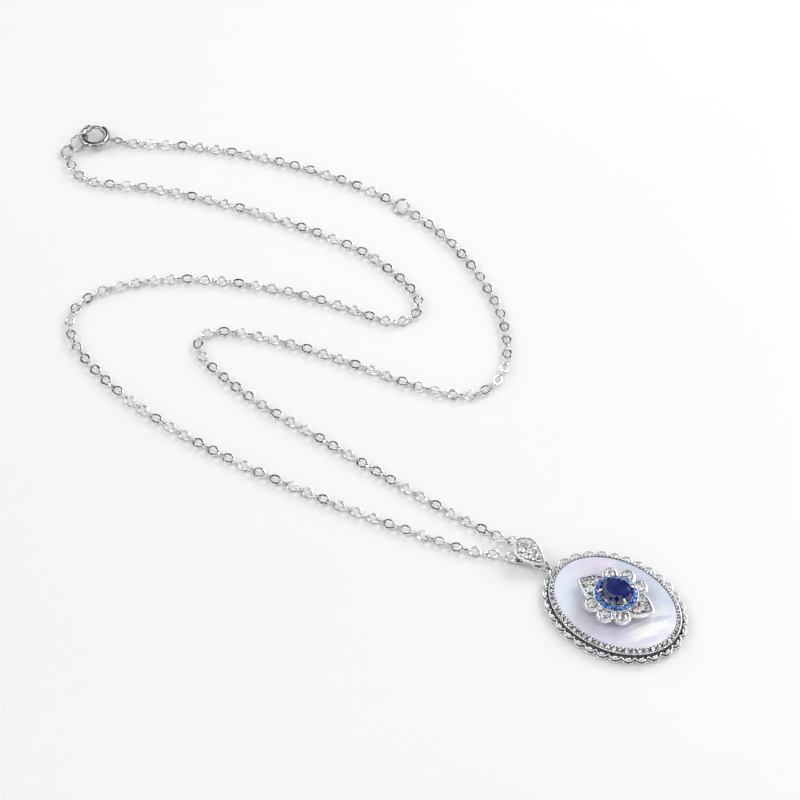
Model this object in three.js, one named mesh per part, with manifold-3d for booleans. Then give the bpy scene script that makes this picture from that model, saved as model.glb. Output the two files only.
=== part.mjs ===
// A pendant necklace: an oval mother-of-pearl pendant with a raised stone-set flower, hung by a jump ring
// and a bail on a cable chain that lies closed by a spring-ring clasp.
// Millimetres, +Z up. The surface that it lies on is z = 0, and +Y runs along the pendant towards its bail.

import * as THREE from 'three';
import { mergeVertices } from 'three/addons/utils/BufferGeometryUtils.js';
import Module from 'manifold-3d';

const wasm = await Module();
wasm.setup();

// ---- Driving dimensions ----

const GAP = 0.04;                       // clearance between pieces that are soldered or set together

// Pendant plan: the visible edge of the pearl plate is an oval, and rings are offset outwards from it.
const PEARL = { semiX: 7.55, semiY: 10.3, bottom: 0.75, top: 2.1, tuck: 0.12 };
const TRAY = { floor: 0.7, wallInner: 0.2, wallOuter: 0.7, wallTop: 1.45 };
const BAND = { lip: 0.06, outer: 0.68, top: 2.28, low: 1.62 };
const BORDER = { inner: 0.74, valley: 1.15, tip: 1.65, bottom: 0.2, top: 1.4, lobes: 30 };
const OVAL_STEPS = 60;

// Flower: long axis along the pendant, turned a little as the real one is.
const FLOWER_TURN = THREE.MathUtils.degToRad(7);
const PETAL = { ring: 3.95, radius: 1.22, bottom: 3.3, top: 4.3, pocket: 0.45, rim: 0.24 };
const PETAL_ANGLES = [50, 90, 130, -50, -90, -130];
const LEAF = { root: 2.2, rootHalf: 1.5, tip: 6.45, bulge: 3.0 };
const LEAF_STONES = [[0, 5.0, 0.55], [0.85, 3.95, 0.62], [-0.85, 3.95, 0.62]];
const POST = { radius: 0.6, collar: 1.7, hole: 0.66 };
const HALO = { semiX: 2.83, semiY: 3.06, half: 0.47, stoneHalf: 0.34, height: 0.3, stoneHeight: 0.3 };
const CENTRE = { semiX: 2.32, semiY: 2.76, girdle: 5.5, crown: 0.75, pavilion: 1.2, table: 0.6 };
const BASKET = { semiX: 1.66, semiY: 2.02, half: 0.17, height: 0.5, claw: 0.17, clawAngle: 40 };
const WELL_RADIUS = 1.2;                 // the hollow in the flower plate under the centre stone
const PETAL_STONE = { radius: 0.72, outwards: 0.12 };

// Linkage from the pendant up to the chain.
const WIRE = 0.2;                       // wire radius of the rings
const LINK_HEIGHT = 1.1;                // height of the loop, jump ring and bail tip over the surface
const LOOP = { radius: 0.45, wire: 0.15, beyondTip: 0.25, notchHalf: 0.2 };
const JUMP = { x: -0.2, radius: 0.78, beyondLoop: 0.78 };
const BAIL = { x: -0.35, height: 2.4, wall: 0.35, length: 5.2, reach: 5.7, plate: 0.65, tipRadius: 0.62 };
const BAIL_TURN = -THREE.MathUtils.degToRad(6.5);
// Half-widths of the bail's folded band along its length: [distance from its tip, half-width].
const BAIL_BAND = [[-0.1, 0.26], [0.45, 0.26], [1.6, 1.1], [2.5, 1.55], [3.3, 1.6], [4.2, 1.05], [5.3, 0.72]];
// Half-widths of the broad leaf at the band's back, which lies on the surface below a given height.
const BAIL_LEAF = [[0.9, 0.5], [1.6, 1.1], [2.4, 1.75], [3.2, 2.0], [4.0, 2.0], [4.6, 1.6], [4.75, 0.8]];
const BAIL_LEAF_TOP = 0.75;
const KITE = { length: 6.0, shoulder: 4.0, half: 2.05, rim: 0.18, recess: 0.36 };
const BAIL_STONE = 0.44;
// Rows of bail stones: [distance from the kite's point, then how far each pair stands from the middle].
const BAIL_STONE_ROWS = [[1.35, 0], [2.25, 0.52], [3.2, 0, 1.12], [4.2, 0.58], [5.15, 0]];

// Chain: oval links, drawn here as plain round tubes of the width of a link.
const CHAIN_RADIUS = 0.8;
const CHAIN_HEIGHT = 0.83;
const BEND_RADIUS = 0.6;                // the links lie closer together where they turn in the bail
const CHAIN_SIDES = 8;

// Rings and clasp at the back of the neck.
const ADJUSTER = { x: 47.5, y: 70.0, radius: 1.24, wire: 0.21, tilt: 28 };
const END_RING = { x: 24.705, y: 124.04, radius: 1.1, height: 0.81, tilt: 20 };
const CATCH = { semiLong: 1.9, semiShort: 1.2, wire: 0.19, height: 1.4, roll: 30 };
const CLASP = { x: 29.85, y: 122.25, radius: 2.1, tube: 0.61, bore: 0.4, bolt: 0.31, height: 1.22 };
const CLASP_ANGLE = { eyelet: -69, grip: 147, gapStart: 4, gapEnd: 52, boltTail: 104, socket: 5 };
const SLOT = { start: 62, end: 108, half: 0.14 };
const NUB = { angle: 66, half: 0.1, reach: 0.8 };
const EYELET = { radius: 0.42, wire: 0.16 };
const LINK_RING = { semiLong: 0.8, semiShort: 0.6, wire: 0.17 };
const SPRING = { start: 142, end: 196, radius: 0.23, wire: 0.05, turns: 7 };

// Routes of the chain, as points along its middle line: [x, y] or [x, y, height].
const SHORT_STRAND = [
  [32.1, 117.4], [33.2, 115.3], [34.9, 112.6], [36.6, 109.8], [38.2, 106.9],
  [39.7, 103.8], [41.2, 100.3], [42.5, 97.0], [43.7, 93.3], [44.8, 89.5],
  [45.7, 86.1], [46.5, 82.4], [47.1, 78.9], [47.5, 75.4], [47.6, 71.8],
];
const RIGHT_STRAND = [
  [47.4, 68.2], [47.0, 64.0], [46.1, 59.8], [44.7, 55.5], [42.8, 51.2], [40.4, 46.9],
  [37.6, 43.0], [34.2, 39.7], [30.8, 37.3], [27.4, 36.1], [24.4, 36.2], [21.8, 37.3],
  [19.9, 39.7], [18.6, 42.8], [17.5, 46.6], [16.6, 51.2], [15.6, 56.5], [14.5, 61.8],
  [13.1, 67.2], [11.6, 72.0], [10.1, 75.9], [8.3, 79.1], [6.1, 80.9], [3.8, 80.3],
  [2.3, 77.8], [1.3, 73.6], [0.5, 68.4], [0.1, 62.5], [0.1, 56.0], [0.1, 49.5],
  [0.0, 43.0], [-0.1, 36.5], [0.0, 30.0], [0.2, 24.0], [0.5, 19.6, 0.95], [0.75, 16.85, 1.05],
];
const LEFT_STRAND = [
  [-2.0, 16.25, 1.05], [-3.2, 18.7, 0.95], [-4.4, 21.6], [-5.8, 27.5], [-7.3, 34.5], [-8.7, 41.8],
  [-9.9, 49.5], [-11.0, 57.5], [-11.7, 66.0], [-11.9, 74.0], [-11.4, 82.5], [-9.9, 90.0], [-8.2, 95.2],
  [-6.0, 99.0], [-3.0, 101.3], [0.4, 101.5], [3.5, 100.5], [7.5, 97.6], [11.8, 93.3],
  [15.3, 88.4], [18.2, 82.9], [20.9, 76.6], [23.0, 70.2], [24.6, 63.8], [25.5, 59.2],
  [26.9, 56.1], [29.6, 54.7], [32.2, 55.8], [33.9, 58.8], [35.1, 63.8], [35.7, 69.0],
  [35.1, 75.5], [34.0, 82.0], [32.5, 88.8], [30.6, 95.8], [28.2, 102.8], [25.5, 109.2],
  [23.0, 113.8], [21.7, 117.6], [22.0, 120.8], [23.2, 122.2],
];

// The turn through the bail, measured from the middle of the bail's round end.
const BAIL_BEND = [
  [0.45, 2.75, 1.05], [1.15, 2.1, 1.08], [1.6, 1.35, 1.12], [1.5, 0.55, 1.18], [0.85, 0.05, 1.2], [0, 0, 1.2],
  [-0.85, 0.02, 1.2], [-1.6, 0.4, 1.18], [-2.05, 1.15, 1.1], [-2.2, 2.0, 1.05],
];

// ---- Places worked out from the dimensions ----

const PENDANT_TIP = PEARL.semiY + BORDER.tip;
const LOOP_Y = PENDANT_TIP + LOOP.beyondTip;
const JUMP_Y = LOOP_Y + JUMP.beyondLoop;
const KITE_END_Y = JUMP_Y + BAIL.reach;
// The origin is the middle of the pendant with its bail, so the pendant sits below it in Y.
const PENDANT_Y = -(KITE_END_Y - PENDANT_TIP) / 2;
const BAIL_TIP_Y = JUMP_Y + PENDANT_Y;

const radians = THREE.MathUtils.degToRad;

// ---- Materials ----

const silver = () => new THREE.MeshStandardMaterial({ color: 0xdfe1e4, metalness: 1, roughness: 0.14 });
const springSteel = () => new THREE.MeshStandardMaterial({ color: 0xb4b6ba, metalness: 1, roughness: 0.35 });
const pearl = () => new THREE.MeshStandardMaterial({ color: 0xe9e8f1, metalness: 0, roughness: 0.22 });
const whiteStone = () => new THREE.MeshStandardMaterial({ color: 0xf4f5f7, metalness: 0, roughness: 0.05 });
const haloBlue = () => new THREE.MeshStandardMaterial({ color: 0x2b63c4, metalness: 0, roughness: 0.06 });
const deepBlue = () => new THREE.MeshStandardMaterial({ color: 0x14206e, metalness: 0, roughness: 0.05 });

// ---- Geometry helpers ----

// Signed volume of a merged geometry: negative where its faces point in.
function signedVolume(geometry) {
  const place = geometry.attributes.position;
  const index = geometry.index;
  const [a, b, c] = [new THREE.Vector3(), new THREE.Vector3(), new THREE.Vector3()];
  let sum = 0;
  for (let i = 0; i < index.count; i += 3) {
    a.fromBufferAttribute(place, index.getX(i));
    b.fromBufferAttribute(place, index.getX(i + 1));
    c.fromBufferAttribute(place, index.getX(i + 2));
    sum += a.dot(b.cross(c)) / 6;
  }
  return sum;
}

// One skin with shared corners, no slivers, and its faces pointing out.
function closed(geometry) {
  geometry.deleteAttribute('normal');
  geometry.deleteAttribute('uv');
  const merged = mergeVertices(geometry, 1e-4);
  const corners = merged.index.array;
  const kept = [];
  for (let i = 0; i < corners.length; i += 3) {
    const [a, b, c] = [corners[i], corners[i + 1], corners[i + 2]];
    if (a !== b && b !== c && c !== a) kept.push(a, b, c);
  }
  merged.setIndex(kept);
  if (signedVolume(merged) < 0) {
    for (let i = 0; i < kept.length; i += 3) [kept[i + 1], kept[i + 2]] = [kept[i + 2], kept[i + 1]];
    merged.setIndex(kept);
  }
  return merged;
}

function solid(geometry) {
  const skin = closed(geometry);
  return new wasm.Manifold(new wasm.Mesh({
    numProp: 3,
    vertProperties: new Float32Array(skin.attributes.position.array),
    triVerts: new Uint32Array(skin.index.array),
  }));
}

function fromSolid(body) {
  const mesh = body.getMesh();
  const geometry = new THREE.BufferGeometry();
  geometry.setAttribute('position', new THREE.BufferAttribute(new Float32Array(mesh.vertProperties), 3));
  geometry.setIndex(new THREE.BufferAttribute(new Uint32Array(mesh.triVerts), 1));
  return geometry;
}

function named(name, geometry, material) {
  const skin = closed(geometry);
  skin.computeVertexNormals();
  const mesh = new THREE.Mesh(skin, material);
  mesh.name = name;
  return mesh;
}

// A closed [offset, height] profile carried round an oval, offset square to the oval's edge.
function ovalSweep(profile, semiX, semiY, steps = OVAL_STEPS) {
  const reach = semiX + semiY;
  const loop = [...profile, profile[0]].map(([offset, height]) => new THREE.Vector2(reach + offset, height));
  const geometry = new THREE.LatheGeometry(loop, steps);
  const place = geometry.attributes.position;
  for (let i = 0; i < place.count; i += 1) {
    const angle = Math.atan2(place.getZ(i), place.getX(i));
    const offset = Math.hypot(place.getX(i), place.getZ(i)) - reach;
    const [nx, ny] = [Math.cos(angle) * semiY, Math.sin(angle) * semiX];
    const long = Math.hypot(nx, ny);
    const x = semiX * Math.cos(angle) + (offset * nx) / long;
    const y = semiY * Math.sin(angle) + (offset * ny) / long;
    place.setXYZ(i, x, y, place.getY(i));
  }
  return geometry;
}

function roundProfile(radius, sides, height = 0) {
  const profile = [];
  for (let i = 0; i < sides; i += 1) {
    const angle = (2 * Math.PI * i) / sides;
    profile.push([radius * Math.cos(angle), height + radius * Math.sin(angle)]);
  }
  return profile;
}

const boxProfile = (inner, outer, low, high) => [[inner, low], [outer, low], [outer, high], [inner, high]];

function ovalShape(semiX, semiY) {
  const shape = new THREE.Shape();
  shape.absellipse(0, 0, semiX, semiY, 0, 2 * Math.PI);
  return shape;
}

function roundHole(radius) {
  const hole = new THREE.Path();
  hole.absarc(0, 0, radius, 0, 2 * Math.PI);
  return hole;
}

// A flat shape made thick between two heights.
function slab(shape, low, high, curveSegments) {
  const depth = high - low;
  const geometry = new THREE.ExtrudeGeometry(shape, { depth, bevelEnabled: false, curveSegments });
  return geometry.translate(0, 0, low);
}

// A round tube with flat ends along any curve.
function tube(curve, radius, steps, sides = CHAIN_SIDES) {
  const section = new THREE.Shape(roundProfile(radius, sides).map(([x, y]) => new THREE.Vector2(x, y)));
  return new THREE.ExtrudeGeometry(section, { steps, extrudePath: curve, bevelEnabled: false });
}

// An arc in the plane of the clasp, from one angle to another.
class FlatArc extends THREE.Curve {
  constructor(radius, start, end) {
    super();
    Object.assign(this, { radius, start: radians(start), end: radians(end) });
  }

  getPoint(t, target = new THREE.Vector3()) {
    const angle = this.start + (this.end - this.start) * t;
    return target.set(this.radius * Math.cos(angle), this.radius * Math.sin(angle), 0);
  }
}

// A coil wound round an arc.
class CoiledArc extends FlatArc {
  constructor(radius, start, end, coil, turns) {
    super(radius, start, end);
    Object.assign(this, { coil, turns });
  }

  getPoint(t, target = new THREE.Vector3()) {
    const angle = this.start + (this.end - this.start) * t;
    const wind = 2 * Math.PI * this.turns * t;
    const reach = this.radius + this.coil * Math.cos(wind);
    return target.set(reach * Math.cos(angle), reach * Math.sin(angle), this.coil * Math.sin(wind));
  }
}

// A small cut stone: culet at its foot, girdle, sloping crown and flat table.
function cutStone(radius) {
  const profile = [[0, 0], [radius, 0.22], [radius, 0.28], [radius * 0.6, 0.46], [0, 0.46]];
  return new THREE.LatheGeometry(profile.map(([x, y]) => new THREE.Vector2(x, y)), 8).rotateX(Math.PI / 2);
}

// ---- Pendant ----

function makePearlPlate() {
  const shape = ovalShape(PEARL.semiX + PEARL.tuck, PEARL.semiY + PEARL.tuck);
  shape.holes.push(roundHole(POST.hole));
  return slab(shape, PEARL.bottom, PEARL.top, OVAL_STEPS / 2);
}

function makeBackTray() {
  const shape = ovalShape(PEARL.semiX + TRAY.wallOuter, PEARL.semiY + TRAY.wallOuter);
  shape.holes.push(roundHole(POST.hole));
  const floor = solid(slab(shape, 0, TRAY.floor, OVAL_STEPS / 2));
  const wallProfile = boxProfile(TRAY.wallInner, TRAY.wallOuter - 0.001, TRAY.floor - 0.2, TRAY.wallTop);
  const wall = solid(ovalSweep(wallProfile, PEARL.semiX, PEARL.semiY));
  return fromSolid(floor.add(wall));
}

function makeBezelBand() {
  const low = TRAY.wallTop + GAP;
  const inner = PEARL.tuck + GAP;
  const profile = [
    [inner, low], [BAND.outer, low], [BAND.outer, BAND.low], [PEARL.tuck, BAND.top],
    [-BAND.lip, BAND.top - 0.04], [-BAND.lip, PEARL.top + GAP], [inner, PEARL.top + GAP],
  ];
  return ovalSweep(profile, PEARL.semiX, PEARL.semiY);
}

// The outline of one ring of lobes, offset from the pearl's oval by a wave of half circles.
function makeScallopedBorder() {
  const outline = [];
  const pointsPerLobe = 6;
  const count = BORDER.lobes * pointsPerLobe;
  const spaced = new THREE.EllipseCurve(0, 0, PEARL.semiX, PEARL.semiY).getSpacedPoints(count * 4);
  for (let i = 0; i < count; i += 1) {
    const point = spaced[(i * 4 + count * 5) % (count * 4)];
    const normal = new THREE.Vector2(point.x / PEARL.semiX ** 2, point.y / PEARL.semiY ** 2).normalize();
    const phase = (i % pointsPerLobe) / pointsPerLobe;
    const offset = BORDER.valley + (BORDER.tip - BORDER.valley) * Math.sin(Math.PI * phase) ** 0.6;
    outline.push(point.clone().addScaledVector(normal, offset));
  }
  const shape = new THREE.Shape(outline);
  const hole = new THREE.Path();
  hole.absellipse(0, 0, PEARL.semiX + BORDER.inner, PEARL.semiY + BORDER.inner, 0, 2 * Math.PI);
  shape.holes.push(hole);
  const ring = solid(slab(shape, BORDER.bottom, BORDER.top, OVAL_STEPS / 2));
  // The top loop is let into a notch in the border's tip.
  const notchFloor = LOOP_Y - LOOP.radius - LOOP.wire - GAP;
  const notch = new THREE.BoxGeometry(2 * LOOP.notchHalf, 4, 4).translate(0, notchFloor + 2, 1);
  return fromSolid(ring.subtract(solid(notch)));
}

function makeFlowerPost() {
  const shoulder = PEARL.top + GAP;
  const profile = [
    [0, GAP], [POST.radius, GAP], [POST.radius, shoulder], [POST.collar, shoulder],
    [POST.collar, PETAL.bottom - GAP], [0, PETAL.bottom - GAP],
  ];
  return new THREE.LatheGeometry(profile.map(([x, y]) => new THREE.Vector2(x, y)), 16).rotateX(Math.PI / 2);
}

// A pointed leaf petal along +Y, shrunk by an inset all round.
function leafShape(inset) {
  const shape = new THREE.Shape();
  const half = LEAF.rootHalf - inset;
  const bulge = LEAF.bulge - 1.4 * inset;
  const tip = LEAF.tip - 2.2 * inset;
  const root = LEAF.root + inset;
  shape.moveTo(-half, root);
  shape.lineTo(half, root);
  shape.bezierCurveTo(bulge, root + 1.3, bulge * 0.55, tip - 1.2, 0, tip);
  shape.bezierCurveTo(-bulge * 0.55, tip - 1.2, -bulge, root + 1.3, -half, root);
  return shape;
}

function petalShape(angle, inset) {
  const shape = new THREE.Shape();
  const [x, y] = [PETAL.ring * Math.sin(angle), PETAL.ring * Math.cos(angle)];
  shape.absarc(x, y, PETAL.radius - inset, 0, 2 * Math.PI);
  return shape;
}

function makeFlowerPlate() {
  const thick = (shape, low) => solid(slab(shape, low, PETAL.top, 7));
  const pocketFloor = PETAL.top - PETAL.pocket;
  let plate = thick(ovalShape(HALO.semiX + 0.6, HALO.semiY + 0.6), PETAL.bottom);
  for (const degrees of PETAL_ANGLES) plate = plate.add(thick(petalShape(radians(degrees), 0), PETAL.bottom));
  plate = plate.add(thick(leafShape(0), PETAL.bottom));
  plate = plate.add(solid(slab(leafShape(0), PETAL.bottom, PETAL.top, 7).rotateZ(Math.PI)));
  for (const degrees of PETAL_ANGLES) {
    const pocket = slab(petalShape(radians(degrees), PETAL.rim), pocketFloor, PETAL.top + 1, 7);
    plate = plate.subtract(solid(pocket));
  }
  for (const turn of [0, Math.PI]) {
    const pocket = slab(leafShape(PETAL.rim), pocketFloor, PETAL.top + 1, 7).rotateZ(turn);
    plate = plate.subtract(solid(pocket));
  }
  const well = new THREE.CylinderGeometry(WELL_RADIUS, WELL_RADIUS, 2 * PETAL.pocket, 16);
  well.rotateX(Math.PI / 2).translate(0, 0, PETAL.top);
  return fromSolid(plate.subtract(solid(well)));
}

function makeBasket() {
  const low = PETAL.top + GAP;
  const foot = boxProfile(-BASKET.half, BASKET.half, low, low + BASKET.height);
  let basket = solid(ovalSweep(foot, BASKET.semiX, BASKET.semiY, 32));
  for (const degrees of [1, -1].flatMap((s) => [s * BASKET.clawAngle, s * (180 - BASKET.clawAngle)])) {
    const angle = radians(degrees);
    const [ux, uy] = [Math.sin(angle), Math.cos(angle)];
    const [reachX, reachY] = [CENTRE.semiX * ux, CENTRE.semiY * uy];
    const at = (scale, height) => new THREE.Vector3(scale * reachX, scale * reachY, height);
    const path = new THREE.CatmullRomCurve3([
      at(BASKET.semiX / CENTRE.semiX, low + 0.1), at(0.84, CENTRE.girdle - 0.5), at(1.09, CENTRE.girdle),
      at(1.07, CENTRE.girdle + 0.3), at(0.93, CENTRE.girdle + 0.48),
    ]);
    basket = basket.add(solid(tube(path, BASKET.claw, 6, 6)));
  }
  return fromSolid(basket);
}

function makeCentreStone() {
  const profile = [
    [0, -CENTRE.pavilion], [1, -0.04], [1, 0.04], [0.82, CENTRE.crown * 0.62],
    [CENTRE.table, CENTRE.crown], [0, CENTRE.crown],
  ];
  const geometry = new THREE.LatheGeometry(profile.map(([x, y]) => new THREE.Vector2(x, y)), 16);
  return geometry.rotateX(Math.PI / 2).scale(CENTRE.semiX, CENTRE.semiY, 1).translate(0, 0, CENTRE.girdle);
}

function makeFlower() {
  const flower = new THREE.Group();
  flower.rotation.z = FLOWER_TURN;
  flower.add(named('flower_plate', makeFlowerPlate(), silver()));
  const seat = PETAL.top - PETAL.pocket + GAP;
  PETAL_ANGLES.forEach((degrees, i) => {
    const angle = radians(degrees);
    const reach = PETAL.ring + PETAL_STONE.outwards;
    const stone = named(`petal_stone_${i + 1}`, cutStone(PETAL_STONE.radius), whiteStone());
    stone.position.set(reach * Math.sin(angle), reach * Math.cos(angle), seat);
    flower.add(stone);
  });
  [1, -1].forEach((side, leaf) => {
    LEAF_STONES.forEach(([x, y, radius], i) => {
      const stone = named(`leaf_stone_${leaf * LEAF_STONES.length + i + 1}`, cutStone(radius), whiteStone());
      stone.position.set(side * x, side * y, seat);
      flower.add(stone);
    });
  });
  const haloLow = PETAL.top + GAP;
  const haloTop = haloLow + HALO.height;
  const setting = boxProfile(-HALO.half, HALO.half, haloLow, haloTop);
  flower.add(named('halo_setting', ovalSweep(setting, HALO.semiX, HALO.semiY, 40), silver()));
  const row = boxProfile(-HALO.stoneHalf, HALO.stoneHalf, haloTop + GAP, haloTop + GAP + HALO.stoneHeight);
  flower.add(named('halo_stone_row', ovalSweep(row, HALO.semiX, HALO.semiY, 40), haloBlue()));
  flower.add(named('centre_basket', makeBasket(), silver()));
  flower.add(named('centre_stone', makeCentreStone(), deepBlue()));
  return flower;
}

function makePendant() {
  const pendant = new THREE.Group();
  pendant.position.y = PENDANT_Y;
  pendant.add(named('back_tray', makeBackTray(), silver()));
  pendant.add(named('mother_of_pearl_plate', makePearlPlate(), pearl()));
  pendant.add(named('bezel_band', makeBezelBand(), silver()));
  pendant.add(named('scalloped_border', makeScallopedBorder(), silver()));
  pendant.add(named('flower_post', makeFlowerPost(), silver()));
  pendant.add(makeFlower());
  const loop = named('pendant_top_loop', new THREE.TorusGeometry(LOOP.radius, LOOP.wire, 8, 16), silver());
  loop.rotation.y = Math.PI / 2;
  loop.position.set(0, LOOP_Y, LINK_HEIGHT);
  pendant.add(loop);
  return pendant;
}

// ---- Bail and jump ring ----

// Kite with rounded shoulders: its point is at y = 0 and its far corner at y = length.
function kiteShape(inset) {
  const half = KITE.half - inset;
  const foot = 1.6 * inset;
  const top = KITE.length - 1.6 * inset;
  const shape = new THREE.Shape();
  shape.moveTo(0, foot);
  shape.bezierCurveTo(half * 0.45, foot + 0.7, half, KITE.shoulder - 1.5, half, KITE.shoulder);
  shape.bezierCurveTo(half, KITE.shoulder + 1.0, half * 0.5, top - 0.3, 0, top);
  shape.bezierCurveTo(-half * 0.5, top - 0.3, -half, KITE.shoulder + 1.0, -half, KITE.shoulder);
  shape.bezierCurveTo(-half, KITE.shoulder - 1.5, -half * 0.45, foot + 0.7, 0, foot);
  return shape;
}

// Middles of the bail's round end and of its tip, seen from the side: distance along it, then height.
const bigAt = new THREE.Vector2(BAIL.length - BAIL.height / 2, BAIL.height / 2);
const smallAt = new THREE.Vector2(BAIL.tipRadius, LINK_HEIGHT);

// Side view of the bail: a teardrop with a round far end, in the plane of y (here x) and height (here y).
function teardrop(inset, Kind) {
  const big = BAIL.height / 2 - inset;
  const small = BAIL.tipRadius - inset;
  const lean = Math.acos((big - small) / bigAt.distanceTo(smallAt));
  const shape = new Kind();
  shape.absarc(bigAt.x, bigAt.y, big, -(Math.PI - lean), Math.PI - lean, false);
  shape.absarc(smallAt.x, smallAt.y, small, Math.PI - lean, Math.PI + lean, false);
  shape.closePath();
  return shape;
}

// Plan of the bail's band: a narrow tongue through the jump ring that widens like a leaf.
function bandShape(halfWidths) {
  const side = halfWidths.map(([y, half]) => [half, y]);
  const outline = [...side, ...side.map(([x, y]) => [-x, y]).reverse()];
  return new THREE.Shape(outline.map(([x, y]) => new THREE.Vector2(x, y)));
}

function makeBailLoop() {
  const side = teardrop(0, THREE.Shape);
  side.holes.push(teardrop(BAIL.wall, THREE.Path));
  const width = 2 * KITE.half + 1;
  const band = new THREE.ExtrudeGeometry(side, { depth: width, bevelEnabled: false, curveSegments: 12 });
  // The side view is turned so that its long direction runs along Y and its height along Z.
  const turn = new THREE.Matrix4().set(0, 0, 1, -width / 2, 1, 0, 0, 0, 0, 1, 0, 0, 0, 0, 0, 1);
  band.applyMatrix4(turn);
  const plan = solid(slab(bandShape(BAIL_BAND), -1, BAIL.height + 1, 8));
  const leaf = solid(slab(bandShape(BAIL_LEAF), -1, BAIL_LEAF_TOP, 8));
  return fromSolid(solid(band).intersect(plan.add(leaf)));
}

function makeBailPlate() {
  const low = GAP;
  const top = BAIL.plate;
  const recess = slab(kiteShape(KITE.rim), top - KITE.recess, top + 1, 8);
  const plate = solid(slab(kiteShape(0), low, top, 8)).subtract(solid(recess));
  return fromSolid(plate);
}

function makeBail() {
  const bail = new THREE.Group();
  bail.position.set(BAIL.x, BAIL_TIP_Y, 0);
  bail.rotation.z = BAIL_TURN;
  bail.add(named('bail_loop', makeBailLoop(), silver()));
  // The front plate and its stones lie along the band's sloping front.
  const front = new THREE.Group();
  const drop = BAIL.height / 2 - BAIL.tipRadius;
  const slope = Math.asin(drop / bigAt.distanceTo(smallAt)) + bigAt.clone().sub(smallAt).angle();
  const footY = BAIL.reach - KITE.length * Math.cos(slope) + GAP * Math.sin(slope);
  const touchY = bigAt.x - (BAIL.height / 2) * Math.sin(slope);
  const touchZ = bigAt.y + (BAIL.height / 2) * Math.cos(slope);
  front.position.set(0, footY, touchZ + (footY - touchY) * Math.tan(slope));
  front.rotation.x = slope;
  bail.add(front);
  front.add(named('bail_front_plate', makeBailPlate(), silver()));
  let number = 0;
  for (const [y, ...across] of BAIL_STONE_ROWS) {
    for (const x of across.flatMap((a) => (a === 0 ? [0] : [-a, a]))) {
      number += 1;
      const stone = named(`bail_stone_${number}`, cutStone(BAIL_STONE), whiteStone());
      stone.position.set(x, y, BAIL.plate - KITE.recess + GAP);
      front.add(stone);
    }
  }
  return bail;
}

function makeJumpRing() {
  const ring = named('jump_ring', new THREE.TorusGeometry(JUMP.radius, WIRE, 8, 20), silver());
  ring.position.set(JUMP.x, BAIL_TIP_Y, LINK_HEIGHT);
  return ring;
}

// ---- Chain ----

function route(points) {
  const path = points.map(([x, y, height = CHAIN_HEIGHT]) => new THREE.Vector3(x, y, height));
  return new THREE.CatmullRomCurve3(path);
}

function bailBend() {
  const [cos, sin] = [Math.cos(BAIL_TURN), Math.sin(BAIL_TURN)];
  const middle = BAIL.length - BAIL.height / 2;
  return route(BAIL_BEND.map(([x, y, z]) => {
    const along = y + middle;
    return [BAIL.x + x * cos - along * sin, BAIL_TIP_Y + x * sin + along * cos, z];
  }));
}

function addChain(group) {
  group.add(named('chain_short_strand', tube(route(SHORT_STRAND), CHAIN_RADIUS, 8), silver()));
  group.add(named('chain_right_strand', tube(route(RIGHT_STRAND), CHAIN_RADIUS, 26), silver()));
  group.add(named('chain_left_strand', tube(route(LEFT_STRAND), CHAIN_RADIUS, 34), silver()));
  group.add(named('chain_bail_bend', tube(bailBend(), BEND_RADIUS, 12), silver()));
}

// ---- Rings and clasp ----

function makeAdjusterRing() {
  const ring = new THREE.TorusGeometry(ADJUSTER.radius, ADJUSTER.wire, 8, 24);
  const mesh = named('adjuster_ring', ring, silver());
  const height = ADJUSTER.wire + ADJUSTER.radius * Math.sin(radians(ADJUSTER.tilt)) + 0.02;
  mesh.rotation.y = -radians(ADJUSTER.tilt);
  mesh.position.set(ADJUSTER.x, ADJUSTER.y, height);
  return mesh;
}

function makeEndRing() {
  const ring = named('end_ring', new THREE.TorusGeometry(END_RING.radius, WIRE, 8, 20), silver());
  ring.rotation.y = -radians(END_RING.tilt);
  ring.position.set(END_RING.x, END_RING.y, END_RING.height);
  return ring;
}

function makeCatchRing() {
  const ring = ovalSweep(roundProfile(CATCH.wire, 8), CATCH.semiLong, CATCH.semiShort, 28);
  const mesh = named('catch_ring', ring.rotateX(Math.PI / 2 + radians(CATCH.roll)), silver());
  const grip = radians(CLASP_ANGLE.grip);
  const [gripX, gripY] = [CLASP.x + CLASP.radius * Math.cos(grip), CLASP.y + CLASP.radius * Math.sin(grip)];
  const away = new THREE.Vector2(END_RING.x - gripX, END_RING.y - gripY).normalize();
  // The ring reaches through the clasp's hole, with its wire just clear of the clasp's tube.
  const inside = CLASP.tube + CATCH.wire + 0.14;
  const middle = CATCH.semiLong - inside;
  mesh.position.set(gripX + away.x * middle, gripY + away.y * middle, CATCH.height);
  mesh.rotation.z = Math.atan2(away.y, away.x);
  return mesh;
}

function makeClaspBody() {
  const section = new THREE.Shape(roundProfile(CLASP.tube, 10).map(([x, y]) => new THREE.Vector2(x, y)));
  section.holes.push(new THREE.Path(roundProfile(CLASP.bore, 10).map(([x, y]) => new THREE.Vector2(x, y))));
  const path = new FlatArc(CLASP.radius, CLASP_ANGLE.gapEnd, 360 + CLASP_ANGLE.gapStart);
  const body = new THREE.ExtrudeGeometry(section, { steps: 30, extrudePath: path, bevelEnabled: false });
  // The slot lets the nub of the bolt stand out of the tube's outer side.
  const wallMiddle = CLASP.radius + 0.01;
  const reach = CLASP.tube + 0.3;
  const steps = 10;
  const outline = new THREE.Shape();
  outline.absarc(0, 0, wallMiddle + reach, radians(SLOT.start), radians(SLOT.end), false);
  outline.absarc(0, 0, wallMiddle, radians(SLOT.end), radians(SLOT.start), true);
  const slot = slab(outline, -SLOT.half, SLOT.half, steps);
  return fromSolid(solid(body).subtract(solid(slot)));
}

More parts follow.
